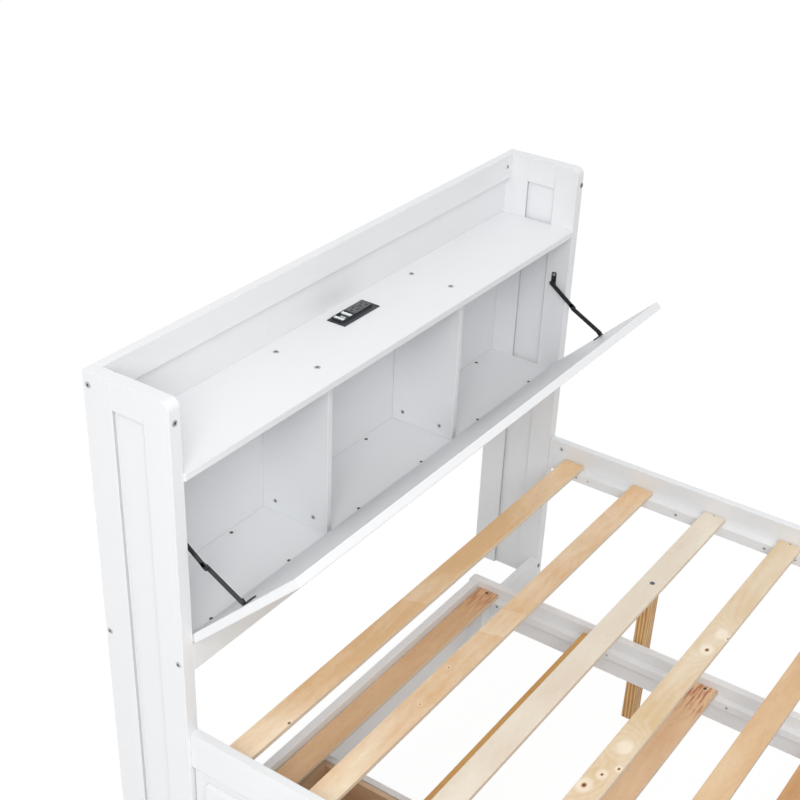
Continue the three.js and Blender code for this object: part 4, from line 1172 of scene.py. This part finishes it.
UP = (0.0, 0.0, 1.0)
TO_FOOT = (0.0, -1.0, 0.0)
TO_LEFT = (-1.0, 0.0, 0.0)
# Depths and heights of the bolts in a side frame's outer face, and of the one inside.
SIDE_BOLTS = [(0.0123, 1.1699), (0.0097, 0.626), (0.187, 0.631), (0.013, 0.060), (0.1895, 0.040)]
RAIL_BOLT = (0.2363, 0.440)
# In the front stile: each side's upper bolt, out from the middle and up, and the low bolt.
STILE_BOLTS = {"left": (0.7063, 1.155), "right": (0.7135, 1.154)}
LOW_BOLT = (0.705, 0.038)
TOP_RAIL_BOLTS = {"left": (0.664, 1.170), "right": (0.669, 1.170)}
LEDGER_SCREWS = (0.299, 0.5845, 0.821, 1.105, 1.388, 1.671, 1.954)
LEDGER_SMALL_SCREWS = (0.333, 0.901, 1.469, 2.037)
LEDGER_SCREW_HEIGHT = 0.390
PLATE_SCREW_DROP = 0.006
for side, sign in (("left", -1), ("right", 1)):
    out = (float(sign), 0.0, 0.0)
    into = (-float(sign), 0.0, 0.0)
    stile_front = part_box(f"{side}_front_stile")[0].y
    rail_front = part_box("back_top_rail")[0].y
    ledger_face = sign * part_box("right_slat_ledger")[0].x
    stile_bolt, low_bolt = [((sign * x, stile_front, z), TO_FOOT) for x, z in (STILE_BOLTS[side], LOW_BOLT)]
    rail_x, rail_z = TOP_RAIL_BOLTS[side]
    bright = [((sign * outer_x, back_y - depth, z), out) for depth, z in SIDE_BOLTS]
    bright.append(((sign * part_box("right_side_rail")[0].x, back_y - RAIL_BOLT[0], RAIL_BOLT[1]), into))
    dark = [low_bolt]
    (bright if side == "left" else dark).append(stile_bolt)
    fasten(f"{side}_frame_bolts", bright, zinc)
    fasten(f"{side}_dark_bolts", dark, dark_zinc)
    fasten(f"{side}_top_rail_bolt", [((sign * rail_x, rail_front, rail_z), TO_FOOT)],
           zinc if side == "right" else dark_zinc, radius=SMALL_HEAD)
    places = [((ledger_face, back_y - depth, LEDGER_SCREW_HEIGHT), into) for depth in LEDGER_SCREWS]
    screw_down(f"{side}_ledger_screws", places, zinc)
    places = [((ledger_face, back_y - depth, LEDGER_SCREW_HEIGHT), into) for depth in LEDGER_SMALL_SCREWS]
    screw_down(f"{side}_ledger_small_screws", places, dark_zinc, radius=SMALL_SCREW)
    low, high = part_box(f"{side}_stay_side_plate")
    places = [((sign * plate_x, (low.y + high.y) / 2, high.z - PLATE_SCREW_DROP), into)]
    screw_down(f"{side}_stay_plate_screw", places, zinc)

# Depths of the shelf's bolts, and depths and heights of the bolts in each divider's left face.
SHELF_BOLTS = (0.0384, 0.1435)
DIVIDER_BOLTS = {"left": [(0.038, 0.6915), (0.140, 0.6915)], "right": [(0.035, 0.6905), (0.1395, 0.6905)]}
shelf_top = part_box("shelf")[1].z
low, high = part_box("right_divider")
divider_x = (low.x + high.x) / 2
places = [((sign * divider_x, back_y - depth, shelf_top), UP) for sign in (-1, 1) for depth in SHELF_BOLTS]
fasten("shelf_bolt_caps", places, zinc)
places = [((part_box(f"{side}_divider")[0].x, back_y - depth, z), TO_LEFT)
          for side in ("left", "right") for depth, z in DIVIDER_BOLTS[side]]
fasten("divider_bolts", places, zinc, radius=SMALL_HEAD)

# The cabinet floor's two rows of screws: each row's depth, and the places along it.
FLOOR_ROWS = {
    0.015: (-0.606, -0.366, -0.126, 0.114, 0.354, 0.597),
    0.1725: (-0.6086, -0.370, -0.1295, 0.1116, 0.353, 0.5934),
}
floor_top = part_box("cabinet_floor")[1].z
places = [((x, back_y - depth, floor_top), UP) for depth, row in FLOOR_ROWS.items() for x in row]
screw_down("cabinet_floor_screws", places, brown_screw)

FIRST_SCREWED_SLAT = 3
SLAT_SCREW_X = 0.6865
LEG_BOLT_OFFSET = (-0.0155, -0.002)
slat_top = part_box("slat_1")[1].z
slat_middle = {number: (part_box(f"slat_{number}")[0].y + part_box(f"slat_{number}")[1].y) / 2
               for number in range(FIRST_SCREWED_SLAT, len(SLAT_TONES) + 1)}
places = [((sign * SLAT_SCREW_X, y, slat_top), UP) for y in slat_middle.values() for sign in (-1, 1)]
screw_down("slat_screws", places, brown_screw, radius=SMALL_SCREW)
bolt_x = (leg_low.x + leg_high.x) / 2 + LEG_BOLT_OFFSET[0]
places = [((bolt_x, slat_middle[number] + LEG_BOLT_OFFSET[1], slat_top), UP) for number in LEGGED_SLATS]
fasten("support_leg_bolts", places, dark_zinc)

TRUNDLE_SCREW_INSET = 0.012
TRUNDLE_LEDGER_SCREWS = (0.312, 0.618, 0.925, 1.232, 1.538, 1.845)
places = [((x, top - TRUNDLE_SLAT_WIDTH / 2, deck_high.z), UP) for top in trundle_tops
          for x in (face_back + TRUNDLE_SCREW_INSET, far_inner - TRUNDLE_SCREW_INSET)]
screw_down("trundle_slat_screws", places, brown_screw, "trundle")
places = [((far_inner - LEDGER_SIZE, back_y - depth, LEDGER_TOP - LEDGER_SIZE / 2), TO_LEFT)
          for depth in TRUNDLE_LEDGER_SCREWS]
screw_down("trundle_ledger_screws", places, zinc, "trundle")


# Stage: a plain pale floor that shows almost white to the camera and keeps a soft shadow, even
# light all round, a broad lamp from the left, and the camera.
FLOOR_REACH = 30.0
FLOOR_GREY = (0.86, 0.86, 0.86, 1)
FLOOR_ROUGHNESS = 0.9
FLOOR_GLOW = 1.04
FLOOR_WHITENESS = 0.9
WHITE = (1, 1, 1, 1)


def directly_seen(tree):
    """1 for what the camera sees straight, mirrored or through glass, and 0 for other light."""
    path = put(tree, "LightPath").outputs
    mirrored = calc(tree, "MAXIMUM", path["Is Glossy Ray"], path["Is Transmission Ray"])
    return calc(tree, "MAXIMUM", path["Is Camera Ray"], mirrored)


floor_mesh = bpy.data.meshes.new("floor")
floor_corners = rectangle((-FLOOR_REACH, -FLOOR_REACH), (FLOOR_REACH, FLOOR_REACH))
floor_mesh.from_pydata([(x, y, 0) for x, y in floor_corners], [], [(0, 1, 2, 3)])
floor = bpy.data.objects.new("floor", floor_mesh)
bpy.context.scene.collection.objects.link(floor)
pale_floor, tree, shader, _ = new_material("pale_floor")
shader.inputs["Base Color"].default_value = FLOOR_GREY
shader.inputs["Roughness"].default_value = FLOOR_ROUGHNESS
shader.inputs["Specular IOR Level"].default_value = 0.0
glow = put(tree, "Emission", {"Color": WHITE, "Strength": FLOOR_GLOW}).outputs[0]
share = calc(tree, "MULTIPLY", directly_seen(tree), FLOOR_WHITENESS)
blend = put(tree, "MixShader", {0: share, 1: shader.outputs[0], 2: glow}).outputs[0]
tree.links.new(blend, tree.nodes["Material Output"].inputs["Surface"])
floor_mesh.materials.append(pale_floor)

EVEN_LIGHT = 0.05
LIGHT_FROM_FOOT = 0.06
LIGHT_FROM_ABOVE = 1.05
world = bpy.data.worlds.new("even_light")
world.use_nodes = True
bpy.context.scene.world = world
tree = world.node_tree
way = put(tree, "SeparateXYZ", {0: put(tree, "TexCoord").outputs["Generated"]}).outputs
from_foot = calc(tree, "MAXIMUM", calc(tree, "MULTIPLY", way[1], -LIGHT_FROM_FOOT), 0.0)
from_above = calc(tree, "MAXIMUM", calc(tree, "MULTIPLY", way[2], LIGHT_FROM_ABOVE), 0.0)
light = calc(tree, "ADD", from_foot, calc(tree, "ADD", from_above, EVEN_LIGHT))
strength = put(tree, "MapRange", {0: directly_seen(tree), 3: light, 4: 1.0}).outputs[0]
tree.links.new(strength, tree.nodes["Background"].inputs["Strength"])
tree.nodes["Background"].inputs["Color"].default_value = WHITE

LAMP_PLACE = (-3.4, -1.6, 3.4)
LAMP_TARGET = (-0.3, 0.3, 0.5)
LAMP_SIZE = 2.6
LAMP_POWER = 136.0
lamp = bpy.data.lights.new("key_lamp", "AREA")
lamp.size = LAMP_SIZE
lamp.energy = LAMP_POWER
key_lamp = bpy.data.objects.new("key_lamp", lamp)
bpy.context.scene.collection.objects.link(key_lamp)
key_lamp.location = LAMP_PLACE
key_lamp.rotation_euler = Vector(np.subtract(LAMP_PLACE, LAMP_TARGET)).to_track_quat("Z", "Y").to_euler()

IMAGE_SIDE = 800
FOCAL_PIXELS = 1409.5
CENTRE_PIXEL = (385.7, 469.6)
SENSOR = 36.0
AZIMUTH = math.radians(34.2399)
ELEVATION = math.radians(32.3981)
ROLL = math.radians(2.0445)
CAMERA_PLACE = (-2.1850, -0.5656, 2.3674)
forward = np.array([math.cos(ELEVATION) * math.cos(AZIMUTH), math.cos(ELEVATION) * math.sin(AZIMUTH),
                    -math.sin(ELEVATION)])
level_right = np.array([forward[1], -forward[0], 0])
level_right /= np.linalg.norm(level_right)
level_up = np.cross(level_right, forward)
turn = np.eye(4)
turn[:3, 0] = math.cos(ROLL) * level_right + math.sin(ROLL) * level_up
turn[:3, 1] = math.cos(ROLL) * level_up - math.sin(ROLL) * level_right
turn[:3, 2] = -forward
turn[:3, 3] = CAMERA_PLACE
camera_data = bpy.data.cameras.new("camera")
camera_data.sensor_width = SENSOR
camera_data.lens = FOCAL_PIXELS * SENSOR / IMAGE_SIDE
camera_data.shift_x = 0.5 - CENTRE_PIXEL[0] / IMAGE_SIDE
camera_data.shift_y = CENTRE_PIXEL[1] / IMAGE_SIDE - 0.5
camera = bpy.data.objects.new("camera", camera_data)
bpy.context.scene.collection.objects.link(camera)
camera.matrix_world = Matrix(turn.tolist())
bpy.context.scene.camera = camera
bpy.context.scene.view_settings.view_transform = "Standard"
